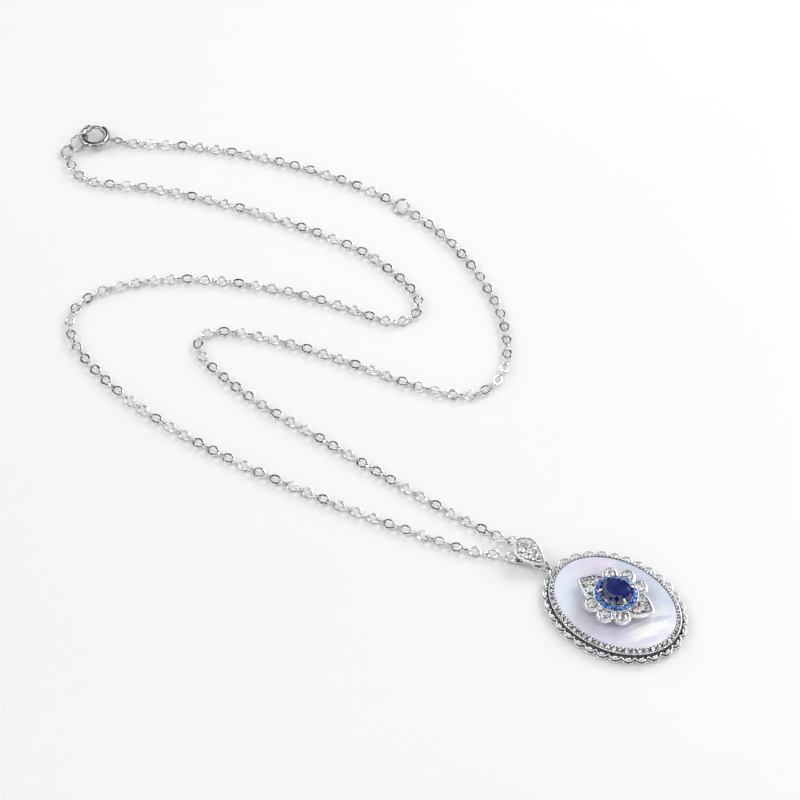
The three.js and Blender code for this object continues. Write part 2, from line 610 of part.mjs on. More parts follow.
function makeClaspBolt() {
  const start = CLASP_ANGLE.gapStart - CLASP_ANGLE.socket;
  const rod = solid(tube(new FlatArc(CLASP.radius, start, CLASP_ANGLE.boltTail), CLASP.bolt, 14));
  const nub = new THREE.BoxGeometry(NUB.reach, 2.2 * NUB.half, 2 * NUB.half);
  nub.translate(CLASP.radius + NUB.reach / 2, 0, 0).rotateZ(radians(NUB.angle));
  return fromSolid(rod.add(solid(nub)));
}

function makeClasp() {
  const clasp = new THREE.Group();
  clasp.position.set(CLASP.x, CLASP.y, CLASP.height);
  clasp.add(named('clasp_body', makeClaspBody(), silver()));
  clasp.add(named('clasp_bolt', makeClaspBolt(), silver()));
  const coil = new CoiledArc(CLASP.radius, SPRING.start, SPRING.end, SPRING.radius, SPRING.turns);
  clasp.add(named('clasp_spring', tube(coil, SPRING.wire, SPRING.turns * 8, 5), springSteel()));
  const eyeletAt = CLASP.radius + CLASP.tube + EYELET.radius + EYELET.wire + GAP;
  const eyelet = named('clasp_eyelet', new THREE.TorusGeometry(EYELET.radius, EYELET.wire, 8, 16), silver());
  const out = radians(CLASP_ANGLE.eyelet);
  eyelet.rotation.set(Math.PI / 2, 0, out, 'ZXY');
  eyelet.position.set(eyeletAt * Math.cos(out), eyeletAt * Math.sin(out), 0);
  clasp.add(eyelet);
  const link = ovalSweep(roundProfile(LINK_RING.wire, 8), LINK_RING.semiLong, LINK_RING.semiShort, 24);
  const linkMesh = named('clasp_link_ring', link, silver());
  const linkAt = eyeletAt + LINK_RING.semiLong;
  linkMesh.rotation.z = out;
  linkMesh.position.set(linkAt * Math.cos(out), linkAt * Math.sin(out), 0);
  clasp.add(linkMesh);
  return clasp;
}

const necklace = new THREE.Group();
necklace.add(makePendant());
necklace.add(makeJumpRing());
necklace.add(makeBail());
addChain(necklace);
necklace.add(makeAdjusterRing());
necklace.add(makeEndRing());
necklace.add(makeCatchRing());
necklace.add(makeClasp());

export default necklace;
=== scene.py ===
"""A pendant necklace on a pale table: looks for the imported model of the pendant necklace.

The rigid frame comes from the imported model, and every visible piece is made here in its place.
Lengths in the tables are in millimetres unless a comment says metres, and are turned into metres
by MM where a mesh is made.
"""

import math

import bmesh
import bpy
from mathutils import Matrix, Vector


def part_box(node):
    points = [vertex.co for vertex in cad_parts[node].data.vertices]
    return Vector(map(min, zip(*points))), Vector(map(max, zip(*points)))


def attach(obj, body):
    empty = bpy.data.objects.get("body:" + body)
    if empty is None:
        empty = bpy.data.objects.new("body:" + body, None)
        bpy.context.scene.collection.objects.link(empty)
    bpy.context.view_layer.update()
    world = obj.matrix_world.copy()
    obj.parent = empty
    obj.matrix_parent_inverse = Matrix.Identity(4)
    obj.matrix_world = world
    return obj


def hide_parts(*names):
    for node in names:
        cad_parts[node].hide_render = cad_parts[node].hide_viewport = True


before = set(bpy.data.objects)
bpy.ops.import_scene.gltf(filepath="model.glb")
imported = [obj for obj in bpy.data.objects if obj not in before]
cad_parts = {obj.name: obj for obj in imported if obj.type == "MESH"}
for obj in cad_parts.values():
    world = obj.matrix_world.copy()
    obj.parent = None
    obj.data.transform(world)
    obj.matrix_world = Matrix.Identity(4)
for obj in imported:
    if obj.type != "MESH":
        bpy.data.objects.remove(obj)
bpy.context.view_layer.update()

MM = 0.001

# ---- Driving dimensions (millimetres); a few differ slightly from the CAD model's ----

PENDANT = Vector((0.0, -3.365, 0.0))  # middle of the pearl oval
PEARL_X = 7.55
PEARL_Y = 10.3
PEARL_TOP = 2.1
PEARL_DOME = 0.16
PEARL_TUCK = 0.12

BAND_STONES = 58
EDGE_BEADS = 100
BAND_STONE_RADIUS = 0.36
BORDER_LOBES = 30
BORDER_VALLEY = 0.8
BORDER_TIP = 1.54
BORDER_WIRES = ((1.1, 0.13), (0.28, 0.15))  # height and wire radius of each waved wire

FLOWER_TURN = math.radians(7)
PETAL_RING = 3.95
PETAL_RADIUS = 1.18
PETAL_ANGLES = (50, 90, 130, -50, -90, -130)
PETAL_STONE = 0.78
PETAL_FLOOR = 3.9
FLOWER_STONE_HEIGHT = 4.18
FLOWER_BEAD_HEIGHT = 4.2
PETAL_BEADS = ((0.62, 0.72), (-0.62, 0.72), (0.72, -0.5), (-0.72, -0.5))  # across, and out from its middle
LEAF_ROOT = 2.2
LEAF_ROOT_HALF = 1.5
LEAF_TIP = 6.45
LEAF_BULGE = 3.0
LEAF_STONES = ((0.0, 5.0, 0.6), (0.85, 3.95, 0.66), (-0.85, 3.95, 0.66))
# Beads on a leaf: across it, and out from the flower's middle.
LEAF_BEADS = (
    (0, 5.8), (0.66, 4.8), (-0.66, 4.8), (0, 4.25), (1.6, 4.1), (-1.6, 4.1), (0, 3.62),
    (1.5, 3.3), (-1.5, 3.3), (0.45, 5.35), (-0.45, 5.35), (1.2, 4.65), (-1.2, 4.65),
)

HALO_X = 2.83
HALO_Y = 3.06
HALO_STONES = 22
HALO_STONE_RADIUS = 0.41

CENTRE_X = 2.32
CENTRE_Y = 2.76
CENTRE_GIRDLE = 5.5
CENTRE_CROWN = 0.75
CENTRE_PAVILION = 1.2
CLAW_ANGLE = 40
# A claw's way up, as shares of the stone's outline and heights, and the claw's radius at each.
CLAW_PATH = (
    (0.74, 4.5), (0.88, 5.0), (1.0, 5.25), (1.09, 5.5), (1.08, 5.75), (1.0, 5.95), (0.9, 6.05), (0.84, 6.06),
)
CLAW_RADII = (0.15, 0.16, 0.17, 0.18, 0.2, 0.22, 0.2, 0.13)

LINK_HEIGHT = 1.1
TOP_LOOP = Vector((0.0, 8.835, LINK_HEIGHT))
JUMP_RING = Vector((-0.2, 9.615, LINK_HEIGHT))
BAIL_TIP = Vector((-0.35, 9.615, 0.0))
BAIL_TURN = math.radians(-6.5)
BAIL_LENGTH = 5.2
BAIL_HEIGHT = 2.4
BAIL_WALL = 0.35
BAIL_TIP_RADIUS = 0.62
BAIL_LEAF_TOP = 0.75
BAIL_LEAF_CURL = 1.5  # how far the broad leaf's edges turn up
CURL_START = 1.2  # from the bail's tip
CURL_SPAN = 2.9
BAIL_REACH = 5.7
KITE_LENGTH = 6.2
KITE_SHOULDER = 4.0
KITE_HALF = 2.05
KITE_STONE_HEIGHT = 0.56
BAIL_STONE = 0.53
BAIL_STONE_ROWS = (
    (1.35, (0.0,)), (2.25, (-0.52, 0.52)), (3.2, (-1.12, 0.0, 1.12)), (4.2, (-0.58, 0.58)), (5.15, (0.0,)),
)
# Beads and small stones between the nine stones: along the kite, then how far to each side.
KITE_BEADS = (
    (0.8, 0.0), (1.75, 0.58), (1.85, 0.0), (2.65, 1.05), (2.7, 0.0), (3.7, 0.56), (3.75, 1.5), (3.7, 0.0),
    (4.35, 1.22), (4.7, 0.0), (4.95, 0.68), (5.6, 0.0), (3.1, 1.66),
)

LINK_PITCH = 1.43
# Links in each run; the first is upright, and the right run ends with a flat one at the bail.
LINK_COUNTS = {"chain_right": 114, "chain_left": 161, "chain_short": 35}
LINK_HALF_LENGTH = 0.885
LINK_HALF_WIDTH = 0.66
LINK_WIRE = (0.165, 0.11)  # half of the flattened wire's width and thickness
LINK_TILT = 21  # degrees that a flat link leans up at its far side
UPRIGHT_TILT = 32  # degrees that an upright link leans the same way

CLASP = Vector((29.85, 122.25, 1.22))
CLASP_RADIUS = 2.1
CLASP_TUBE = 0.61
CLASP_BOLT = 0.31
END_RING = Vector((24.705, 124.04))
CATCH_ROLL = 30
CLASP_EYELET_ANGLE = -69
CLASP_GRIP_ANGLE = 147
EYELET_RADIUS = 0.43
EYELET_WIRE = 0.16
LINK_RING = 0.8

# ---- Routes of the chain along its middle line, the same as in the CAD model (metres) ----

CHAIN_Z = 0.00083
SHORT_ROUTE = (
    (0.0321, 0.1174), (0.0332, 0.1153), (0.0349, 0.1126), (0.0366, 0.1098), (0.0382, 0.1069),
    (0.0397, 0.1038), (0.0412, 0.1003), (0.0425, 0.0970), (0.0437, 0.0933), (0.0448, 0.0895),
    (0.0457, 0.0861), (0.0465, 0.0824), (0.0471, 0.0789), (0.0475, 0.0754), (0.0476, 0.0718),
)
RIGHT_ROUTE = (
    (0.0474, 0.0682), (0.0470, 0.0640), (0.0461, 0.0598), (0.0447, 0.0555), (0.0428, 0.0512),
    (0.0404, 0.0469), (0.0376, 0.0430), (0.0342, 0.0397), (0.0308, 0.0373), (0.0274, 0.0361),
    (0.0244, 0.0362), (0.0218, 0.0373), (0.0199, 0.0397), (0.0186, 0.0428), (0.0175, 0.0466),
    (0.0166, 0.0512), (0.0156, 0.0565), (0.0145, 0.0618), (0.0131, 0.0672), (0.0116, 0.0720),
    (0.0101, 0.0759), (0.0083, 0.0791), (0.0061, 0.0809), (0.0038, 0.0803), (0.0023, 0.0778),
    (0.0013, 0.0736), (0.0005, 0.0684), (0.0001, 0.0625), (0.0001, 0.0560), (0.0001, 0.0495),
    (0.0000, 0.0430), (-0.0001, 0.0365), (0.0000, 0.0300), (0.0002, 0.0240),
    (0.0005, 0.0196, 0.00095), (0.00075, 0.01685, 0.00105),
)
LEFT_ROUTE = (
    (-0.0020, 0.01625, 0.00105), (-0.0032, 0.0187, 0.00095), (-0.0044, 0.0216), (-0.0058, 0.0275),
    (-0.0073, 0.0345), (-0.0087, 0.0418), (-0.0099, 0.0495), (-0.0110, 0.0575), (-0.0117, 0.0660),
    (-0.0119, 0.0740), (-0.0114, 0.0825), (-0.0099, 0.0900), (-0.0082, 0.0952), (-0.0060, 0.0990),
    (-0.0030, 0.1013), (0.0004, 0.1015), (0.0035, 0.1005), (0.0075, 0.0976), (0.0118, 0.0933),
    (0.0153, 0.0884), (0.0182, 0.0829), (0.0209, 0.0766), (0.0230, 0.0702), (0.0246, 0.0638),
    (0.0255, 0.0592), (0.0269, 0.0561), (0.0296, 0.0547), (0.0322, 0.0558), (0.0339, 0.0588),
    (0.0351, 0.0638), (0.0357, 0.0690), (0.0351, 0.0755), (0.0340, 0.0820), (0.0325, 0.0888),
    (0.0306, 0.0958), (0.0282, 0.1028), (0.0255, 0.1092), (0.0230, 0.1138), (0.0217, 0.1176),
    (0.0220, 0.1208), (0.0232, 0.1222),
)
# Through the bail, in millimetres: across it, along it from the middle of its round end, and height.
BEND_ROUTE = (
    (0.45, 2.75, 1.05), (1.15, 2.1, 1.08), (1.6, 1.35, 1.12), (1.5, 0.55, 1.18), (0.85, 0.05, 1.2),
    (0, 0, 1.2), (-0.85, 0.02, 1.2), (-1.6, 0.4, 1.18), (-2.05, 1.15, 1.1), (-2.2, 2.0, 1.05),
)


# ---- Camera (metres) ----


def make_camera():
    camera = bpy.data.objects.new("camera", bpy.data.cameras.new("camera"))
    bpy.context.collection.objects.link(camera)
    camera.data.lens = 144
    camera.data.sensor_width = 36
    camera.data.clip_end = 5
    camera.location = (-0.2414, -0.1320, 0.4142)
    look_at = Vector((0.01424, 0.04704, 0.0))
    camera.rotation_euler = (look_at - camera.location).to_track_quat("-Z", "Y").to_euler()
    bpy.context.scene.camera = camera


make_camera()


# ---- Materials ----


class Nodes:
    """Short ways to add and link the nodes of a tree."""

    def __init__(self, tree):
        self.tree = tree

    def add(self, kind, **values):
        node = self.tree.nodes.new(kind)
        for key, value in values.items():
            setattr(node, key, value)
        return node

    def link(self, out, into):
        self.tree.links.new(out, into)

    def noise(self, vector, scale, detail=3.0, distortion=0.0):
        node = self.add("ShaderNodeTexNoise")
        node.inputs["Scale"].default_value = scale
        node.inputs["Detail"].default_value = detail
        node.inputs["Distortion"].default_value = distortion
        self.link(vector, node.inputs["Vector"])
        return node.outputs["Fac"]

    def ramp(self, value, *stops):
        node = self.add("ShaderNodeValToRGB")
        elements = node.color_ramp.elements
        while len(elements) < len(stops):
            elements.new(0.5)
        for element, (position, colour) in zip(elements, stops):
            element.position = position
            element.color = (*colour, 1) if len(colour) == 3 else colour
        self.link(value, node.inputs["Fac"])
        return node.outputs["Color"]

    def mix(self, factor, first, second, mode="MIX"):
        node = self.add("ShaderNodeMix", data_type="RGBA", blend_type=mode)
        for socket, value in ((node.inputs[0], factor), (node.inputs[6], first), (node.inputs[7], second)):
            if isinstance(value, bpy.types.NodeSocket):
                self.link(value, socket)
            else:
                socket.default_value = value
        return node.outputs[2]

    def range(self, value, low, high, to_low, to_high, smooth=False):
        node = self.add("ShaderNodeMapRange", interpolation_type="SMOOTHSTEP" if smooth else "LINEAR")
        self.link(value, node.inputs["Value"])
        for name, number in (("From Min", low), ("From Max", high), ("To Min", to_low), ("To Max", to_high)):
            node.inputs[name].default_value = number
        return node.outputs["Result"]

    def times(self, first, second):
        node = self.add("ShaderNodeMath", operation="MULTIPLY")
        self.link(first, node.inputs[0])
        self.link(second, node.inputs[1])
        return node.outputs["Value"]

    def add_up(self, first, second):
        """The sum of two values, held at 1."""
        node = self.add("ShaderNodeMath", operation="ADD", use_clamp=True)
        self.link(first, node.inputs[0])
        self.link(second, node.inputs[1])
        return node.outputs["Value"]

    def away_from(self, vector, centre):
        """How far a vector is from a fixed point."""
        node = self.add("ShaderNodeVectorMath", operation="DISTANCE")
        node.inputs[1].default_value = centre
        self.link(vector, node.inputs[0])
        return node.outputs["Value"]


class Shader(Nodes):
    """A node material on one Principled surface."""

    def __init__(self, name):
        self.material = bpy.data.materials.new(name)
        self.material.use_nodes = True
        super().__init__(self.material.node_tree)
        self.surface = self.tree.nodes["Principled BSDF"]

    def set(self, **values):
        for key, value in values.items():
            self.surface.inputs[key.replace("_", " ")].default_value = value

    def feed(self, name, out):
        """Links an output into one of the surface's inputs."""
        self.link(out, self.surface.inputs[name])

    def place(self):
        """Coordinates of the piece in millimetres."""
        scale = self.add("ShaderNodeMapping")
        scale.inputs["Scale"].default_value = (1 / MM, 1 / MM, 1 / MM)
        self.link(self.add("ShaderNodeTexCoord").outputs["Object"], scale.inputs["Vector"])
        return scale.outputs["Vector"]

    def bump(self, height, strength, distance):
        node = self.add("ShaderNodeBump")
        node.inputs["Strength"].default_value = strength
        node.inputs["Distance"].default_value = distance
        self.link(height, node.inputs["Height"])
        self.feed("Normal", node.outputs["Normal"])


def silver_material(name="polished_silver", tone=0.92, roughness=0.06, depth=0.94, ripple=0.12):
    """Rhodium-plated silver: mirror polish with tone changes down to a share of its tone, and fine marks."""
    shader = Shader(name)
    place = shader.place()
    cloud = shader.noise(place, 0.9, 4)
    low = tone * depth
    cool, warm = (low, low * 1.015, low * 1.04), (tone, tone, tone)
    shader.feed("Base Color", shader.ramp(cloud, (0.38, cool), (0.62, warm)))
    marks = shader.noise(place, 14, 2)
    polish = shader.range(marks, 0.3, 0.7, roughness * 0.6, roughness * 1.6)
    shader.feed("Roughness", polish)
    shader.bump(shader.noise(place, 5, 3), ripple, 0.00002)
    shader.set(Metallic=1.0)
    return shader.material


def shaded_floor_material(name, dark, light):
    """The floors of the settings: less polished, and painted darker grey as the shade that falls in them."""
    shader = Shader(name)
    place = shader.place()
    grain = shader.noise(place, 5, 4)
    tone = shader.ramp(grain, (0.38, (dark, dark, dark * 1.1)), (0.62, (light, light, light * 1.03)))
    shader.feed("Base Color", tone)
    shader.feed("Roughness", shader.range(grain, 0.2, 0.8, 0.3, 0.5))
    shader.bump(grain, 0.3, 0.00003)
    shader.set(Metallic=1.0)
    return shader.material


def stone_material(name, tones, facet_scale=2.6, metallic=0.2, ior=1.9):
    """A cut stone: painted sparkle, small cells of colour from dark to bright in place of the facets'
    reflections, under a clear polish.
    """
    shader = Shader(name)
    place = shader.place()
    cells = shader.add("ShaderNodeTexVoronoi", feature="F1")
    cells.inputs["Scale"].default_value = facet_scale
    shader.link(place, cells.inputs["Vector"])
    separate = shader.add("ShaderNodeSeparateColor")
    shader.link(cells.outputs["Color"], separate.inputs["Color"])
    # Painted reflections: the tones, from near black to white, are laid over cells of the stone.
    stops = [(share, tone) for share, tone in zip((0.0, 0.28, 0.5, 0.8), tones)]
    painted_sparkle = shader.ramp(separate.outputs["Red"], *stops)
    haze = shader.noise(place, 1.7, 2)
    soft = shader.mix(shader.range(haze, 0.35, 0.65, 0.0, 0.3), painted_sparkle, (*tones[2], 1))
    shader.feed("Base Color", soft)
    shader.feed("Roughness", shader.range(haze, 0.3, 0.7, 0.02, 0.07))
    shader.set(Metallic=metallic, IOR=ior)
    return shader.material


def sapphire_material():
    """The large oval stone: deep blue, with painted light on its flat table, a softer indigo."""
    shader = Shader("deep_blue_stone")
    place = shader.place()
    depth = shader.noise(place, 0.5, 2, 0.6)
    body = shader.ramp(
        depth, (0.3, (0.001, 0.002, 0.03)), (0.5, (0.003, 0.006, 0.1)), (0.7, (0.01, 0.018, 0.2)),
    )
    # Painted light: the flat table is given a lighter indigo than the rest of the stone.
    lit_table_tone = shader.ramp(depth, (0.35, (0.012, 0.018, 0.12)), (0.7, (0.035, 0.045, 0.2)))
    height = shader.add("ShaderNodeSeparateXYZ")
    shader.link(place, height.inputs["Vector"])
    table = CENTRE_GIRDLE + CENTRE_CROWN
    on_table = shader.range(height.outputs["Z"], table - 0.1, table - 0.02, 0.0, 1.0, smooth=True)
    shader.feed("Base Color", shader.mix(on_table, body, lit_table_tone))
    shader.feed("Roughness", shader.range(shader.noise(place, 2, 2), 0.3, 0.7, 0.03, 0.08))
    shader.set(IOR=1.77)
    return shader.material


# Clouds of colour in the pearl: middle (in the row frame), reach, tint and strength.
PEARL_TINTS = (
    ((-3.1, 4.0), 6.0, (0.80, 0.86, 0.97), 0.75),
    ((4.1, 2.7), 5.0, (0.77, 0.70, 0.84), 0.7),
    ((7.1, -1.2), 3.6, (0.56, 0.68, 0.74), 0.7),
    ((6.4, -5.6), 4.4, (0.58, 0.62, 0.74), 0.75),
    ((-5.3, -1.2), 4.2, (0.64, 0.61, 0.67), 0.65),
    ((-5.0, -6.0), 4.6, (0.69, 0.66, 0.79), 0.65),
    ((3.9, -9.6), 4.6, (0.53, 0.59, 0.71), 0.75),
    ((-3.9, -10.6), 3.6, (0.77, 0.71, 0.82), 0.7),
)
PEARL_FAN = (-0.6, -9.6)  # middle of the fan of bright rays
PEARL_FAN_TURN = -33  # degrees, the way that the rays run


def pearl_material():
    """Mother-of-pearl: white nacre with soft lavender, pink and blue clouds and a fan of bright rays."""
    shader = Shader("mother_of_pearl")
    place = shader.place()
    warp = shader.add("ShaderNodeTexNoise")
    warp.inputs["Scale"].default_value = 0.22
    warp.inputs["Detail"].default_value = 3
    shader.link(place, warp.inputs["Vector"])
    shift = shader.add("ShaderNodeVectorMath", operation="MULTIPLY_ADD")
    shift.inputs[1].default_value = (3.2, 3.2, 0)
    shader.link(warp.outputs["Color"], shift.inputs[0])
    shader.link(place, shift.inputs[2])
    cloud = shader.noise(place, 0.35, 3, 0.8)
    colour = shader.ramp(
        cloud, (0.3, (0.71, 0.71, 0.83)), (0.55, (0.80, 0.80, 0.90)), (0.75, (0.88, 0.87, 0.92)),
    )
    for (x, y), reach, tint, strength in PEARL_TINTS:
        far = shader.away_from(shift.outputs["Vector"], (x + 1.6, y + 1.6, PEARL_TOP))
        amount = shader.range(far, 0.8, reach, strength, 0.0, smooth=True)
        colour = shader.mix(amount, colour, (*tint, 1))
    rays = shader.add("ShaderNodeMapping", vector_type="TEXTURE")
    rays.inputs["Rotation"].default_value = (0, 0, math.radians(PEARL_FAN_TURN))
    rays.inputs["Scale"].default_value = (7.0, 1.3, 1)
    shader.link(place, rays.inputs["Vector"])
    streak = shader.noise(rays.outputs["Vector"], 1.0, 2, 0.5)
    fan = shader.away_from(place, (*PEARL_FAN, PEARL_TOP))
    near = shader.range(fan, 1.6, 5.5, 1.0, 0.0, smooth=True)
    lines = shader.range(streak, 0.4, 0.52, 0.0, 1.0, smooth=True)
    colour = shader.mix(shader.times(near, lines), colour, (1.0, 1.0, 1.0, 1))
    shader.feed("Base Color", colour)
    shader.feed("Roughness", shader.range(shader.noise(place, 0.8, 3), 0.3, 0.7, 0.16, 0.3))
    shader.bump(shader.noise(place, 0.5, 2), 0.15, 0.0001)
    shader.set(Coat_Weight=0.4, Coat_Roughness=0.08)
    return shader.material


def floor_material():
    """Smooth white board with a hardly visible change of tone."""
    shader = Shader("pale_table")
    place = shader.place()
    tone = shader.noise(place, 0.01, 2)
    colour = shader.ramp(tone, (0.3, (0.9, 0.9, 0.9)), (0.7, (0.92, 0.918, 0.915)))
    shader.feed("Base Color", colour)
    shader.set(Roughness=0.6)
    return shader.material


SILVER = silver_material()
CHAIN_SILVER = silver_material("chain_silver", 0.9, 0.08, depth=0.6)
# The rings and clasp are the same silver as the rest, painted darker: painted shade.
SHADED_RING_SILVER = silver_material("shaded_ring_silver", 0.68, 0.07, depth=0.6, ripple=0.02)
# Near-black silver: painted shade in the band's lip and slope, behind the border's lobes and in the clasp's
# slot.
PAINTED_SHADE = shaded_floor_material("painted_shade_silver", 0.035, 0.2)
# Grey silver for the floors between the pave stones: painted shade.
SHADED_PAVE_FLOOR = shaded_floor_material("shaded_pave_floor", 0.2, 0.72)
WHITE_STONE = stone_material(
    "white_stone", ((0.03, 0.028, 0.03), (0.40, 0.31, 0.30), (0.72, 0.70, 0.71), (1.0, 1.0, 1.0)),
)
BLUE_STONE = stone_material(
    "cornflower_stone", ((0.004, 0.02, 0.16), (0.015, 0.08, 0.45), (0.04, 0.18, 0.68), (0.25, 0.48, 0.95)),
    facet_scale=3.4,
)
SAPPHIRE = sapphire_material()
PEARL = pearl_material()


# ---- Mesh building, in millimetres until piece() ----


class Build:
    """Collects vertices and faces, in millimetres, with a material slot for each face."""

    def __init__(self):
        self.points = []
        self.faces = []
        self.slots = []
        self.smooth = []

    def add(self, points, faces, slot=0, smooth=True, matrix=None):
        start = len(self.points)
        self.points += [matrix @ Vector(p) if matrix else Vector(p) for p in points]
        self.faces += [tuple(start + i for i in face) for face in faces]
        self.slots += [slot] * len(faces)
        self.smooth += [smooth] * len(faces)
        return self

    def move(self, matrix):
        self.points = [matrix @ p for p in self.points]
        return self


def piece(name, build, materials, body, nodes=()):
    """Makes one object of a Build, rides it on its body, and lets it stand for its CAD nodes."""
    mesh = bpy.data.meshes.new(name)
    mesh.from_pydata([p * MM for p in build.points], [], build.faces)
    for material in materials:
        mesh.materials.append(material)
    for polygon, material_slot, smooth in zip(mesh.polygons, build.slots, build.smooth):
        polygon.material_index = material_slot
        polygon.use_smooth = smooth
    skin = bmesh.new()
    skin.from_mesh(mesh)
    bmesh.ops.recalc_face_normals(skin, faces=skin.faces)
    skin.to_mesh(mesh)
    skin.free()
    thing = bpy.data.objects.new(name, mesh)
    bpy.context.collection.objects.link(thing)
    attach(thing, body)
    if nodes:
        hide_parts(*nodes)
    return thing


def grid_faces(rows, columns, close_rows=True, close_columns=True):
    """Quads over a grid of points laid out row by row."""
    faces = []
    for i in range(rows if close_rows else rows - 1):
        for j in range(columns if close_columns else columns - 1):
            a, b = i * columns, ((i + 1) % rows) * columns
            k = (j + 1) % columns
            faces.append((a + j, a + k, b + k, b + j))
    return faces


def tube(points, radius, sides=8, closed=True, radii=None):
    """A round tube along 3-D points: its frame is carried along without twisting."""
    count = len(points)
    path = [Vector(p) for p in points]
    along = []
    for i in range(count):
        before = path[i - 1] if closed or i > 0 else path[i]
        after = path[(i + 1) % count] if closed or i < count - 1 else path[i]
        along.append((after - before).normalized())
    side = along[0].orthogonal().normalized()
    rings = []
    for i in range(count):
        side = (side - along[i] * side.dot(along[i])).normalized()
        rings.append((side, along[i].cross(side)))
    # On a closed loop the leftover twist is spread over all the rings.
    twist = 0.0
    if closed:
        last = (side - along[0] * side.dot(along[0])).normalized()
        twist = math.atan2(last.dot(rings[0][1]), last.dot(rings[0][0]))
    skin = []
    for i, (u, v) in enumerate(rings):
        width = radii[i] if radii else radius
        for j in range(sides):
            angle = 2 * math.pi * j / sides - twist * i / count
            skin.append(path[i] + width * (math.cos(angle) * u + math.sin(angle) * v))
    faces = grid_faces(count, sides, close_rows=closed)
    if not closed:
        faces.append(tuple(range(sides)))
        faces.append(tuple((count - 1) * sides + j for j in range(sides)))
    return skin, faces


def ball(centre, size, across=12, down=8):
    """An ellipsoid of three half-sizes."""
    size = size if isinstance(size, (tuple, list)) else (size, size, size)
    points = [(centre[0], centre[1], centre[2] + size[2])]
    for i in range(1, down):
        tilt = math.pi * i / down
        for j in range(across):
            turn = 2 * math.pi * j / across
            points.append((
                centre[0] + size[0] * math.sin(tilt) * math.cos(turn),
                centre[1] + size[1] * math.sin(tilt) * math.sin(turn),
                centre[2] + size[2] * math.cos(tilt),
            ))
    points.append((centre[0], centre[1], centre[2] - size[2]))
    faces = []
    for j in range(across):
        k = (j + 1) % across
        faces.append((0, 1 + j, 1 + k))
        faces.append((len(points) - 1, len(points) - 1 - across + k, len(points) - 1 - across + j))
        for i in range(down - 2):
            a, b = 1 + i * across, 1 + (i + 1) * across
            faces.append((a + j, b + j, b + k, a + k))
    return points, faces


def round_angles(count):
    """Evenly spaced angles of one full turn."""
    return [2 * math.pi * i / count for i in range(count)]


def facet_ring(size, scale, height, turn, count):
    """Corners of one row of facets: size is the stone's two half-sizes, and turn is in steps."""
    angles = [2 * math.pi * (j + turn) / count for j in range(count)]
    return [(size[0] * scale * math.cos(a), size[1] * scale * math.sin(a), height) for a in angles]


def cut_stone(radius, depth=0.3, crown=0.2, sides=8):
    """A round brilliant with its girdle at z = 0: table, star, bezel and upper girdle facets."""
    size = (radius, radius)
    table = facet_ring(size, 0.56, crown, 0.0, sides)
    star = facet_ring(size, 0.76, crown * 0.62, 0.5, sides)
    girdle = facet_ring(size, 1.0, 0.0, 0.0, 2 * sides)
    points = table + star + girdle + [(0, 0, -depth)]
    faces = [tuple(range(sides))]
    girdle_at = 2 * sides
    for j in range(sides):
        k = (j + 1) % sides
        left, right = girdle_at + 2 * j, girdle_at + (2 * j + 2) % (2 * sides)
        middle = girdle_at + 2 * j + 1
        star_here, star_before = sides + j, sides + (j - 1) % sides
        faces.append((j, k, star_here))
        faces.append((j, star_here, left, star_before))
        faces.append((star_here, left, middle))
        faces.append((star_here, middle, right))
        faces.append((left, len(points) - 1, middle))
        faces.append((middle, len(points) - 1, right))
    return points, faces


def oval_frames(semi_x, semi_y, count, start=0.0):
    """Evenly spaced (point, outward normal) pairs round an oval, from +Y; start is in steps."""
    fine = 2048
    angles = [2 * math.pi * i / fine for i in range(fine + 1)]
    curve = [Vector((semi_x * math.sin(a), semi_y * math.cos(a))) for a in angles]
    reach = [0.0]
    for a, b in zip(curve, curve[1:]):
        reach.append(reach[-1] + (b - a).length)
    frames, at = [], 0
    for i in range(count):
        goal = reach[-1] * (((i + start) / count) % 1.0)
        if goal < reach[at]:
            at = 0
        while reach[at + 1] < goal:
            at += 1
        share = (goal - reach[at]) / (reach[at + 1] - reach[at])
        point = curve[at].lerp(curve[at + 1], share)
        frames.append((point, Vector((point.x / semi_x**2, point.y / semi_y**2)).normalized()))
    return frames


def outline_frames(outline):
    """(point, outward normal) pairs of any closed outline that runs counter-clockwise."""
    points = [Vector(p) for p in outline]
    frames = []
    for i, point in enumerate(points):
        along = (points[(i + 1) % len(points)] - points[i - 1]).normalized()
        frames.append((point, Vector((along.y, -along.x))))
    return frames


def sweep(frames, profile):
    """A closed (offset, height) profile carried round closed frames."""
    skin = [(*(point + normal * offset), height) for point, normal in frames for offset, height in profile]
    return skin, grid_faces(len(frames), len(profile))


def plate(outline, low, high):
    """A closed slab over an outline."""
    count = len(outline)
    points = [(x, y, low) for x, y in outline] + [(x, y, high) for x, y in outline]
    faces = [tuple(range(count)), tuple(range(count, 2 * count))]
    faces += [(i, (i + 1) % count, count + (i + 1) % count, count + i) for i in range(count)]
    return points, faces


def at_height(points):
    """Route points as vectors; those given without a height lie at the chain's."""
    return [Vector(p) if len(p) == 3 else Vector((*p, CHAIN_Z)) for p in points]


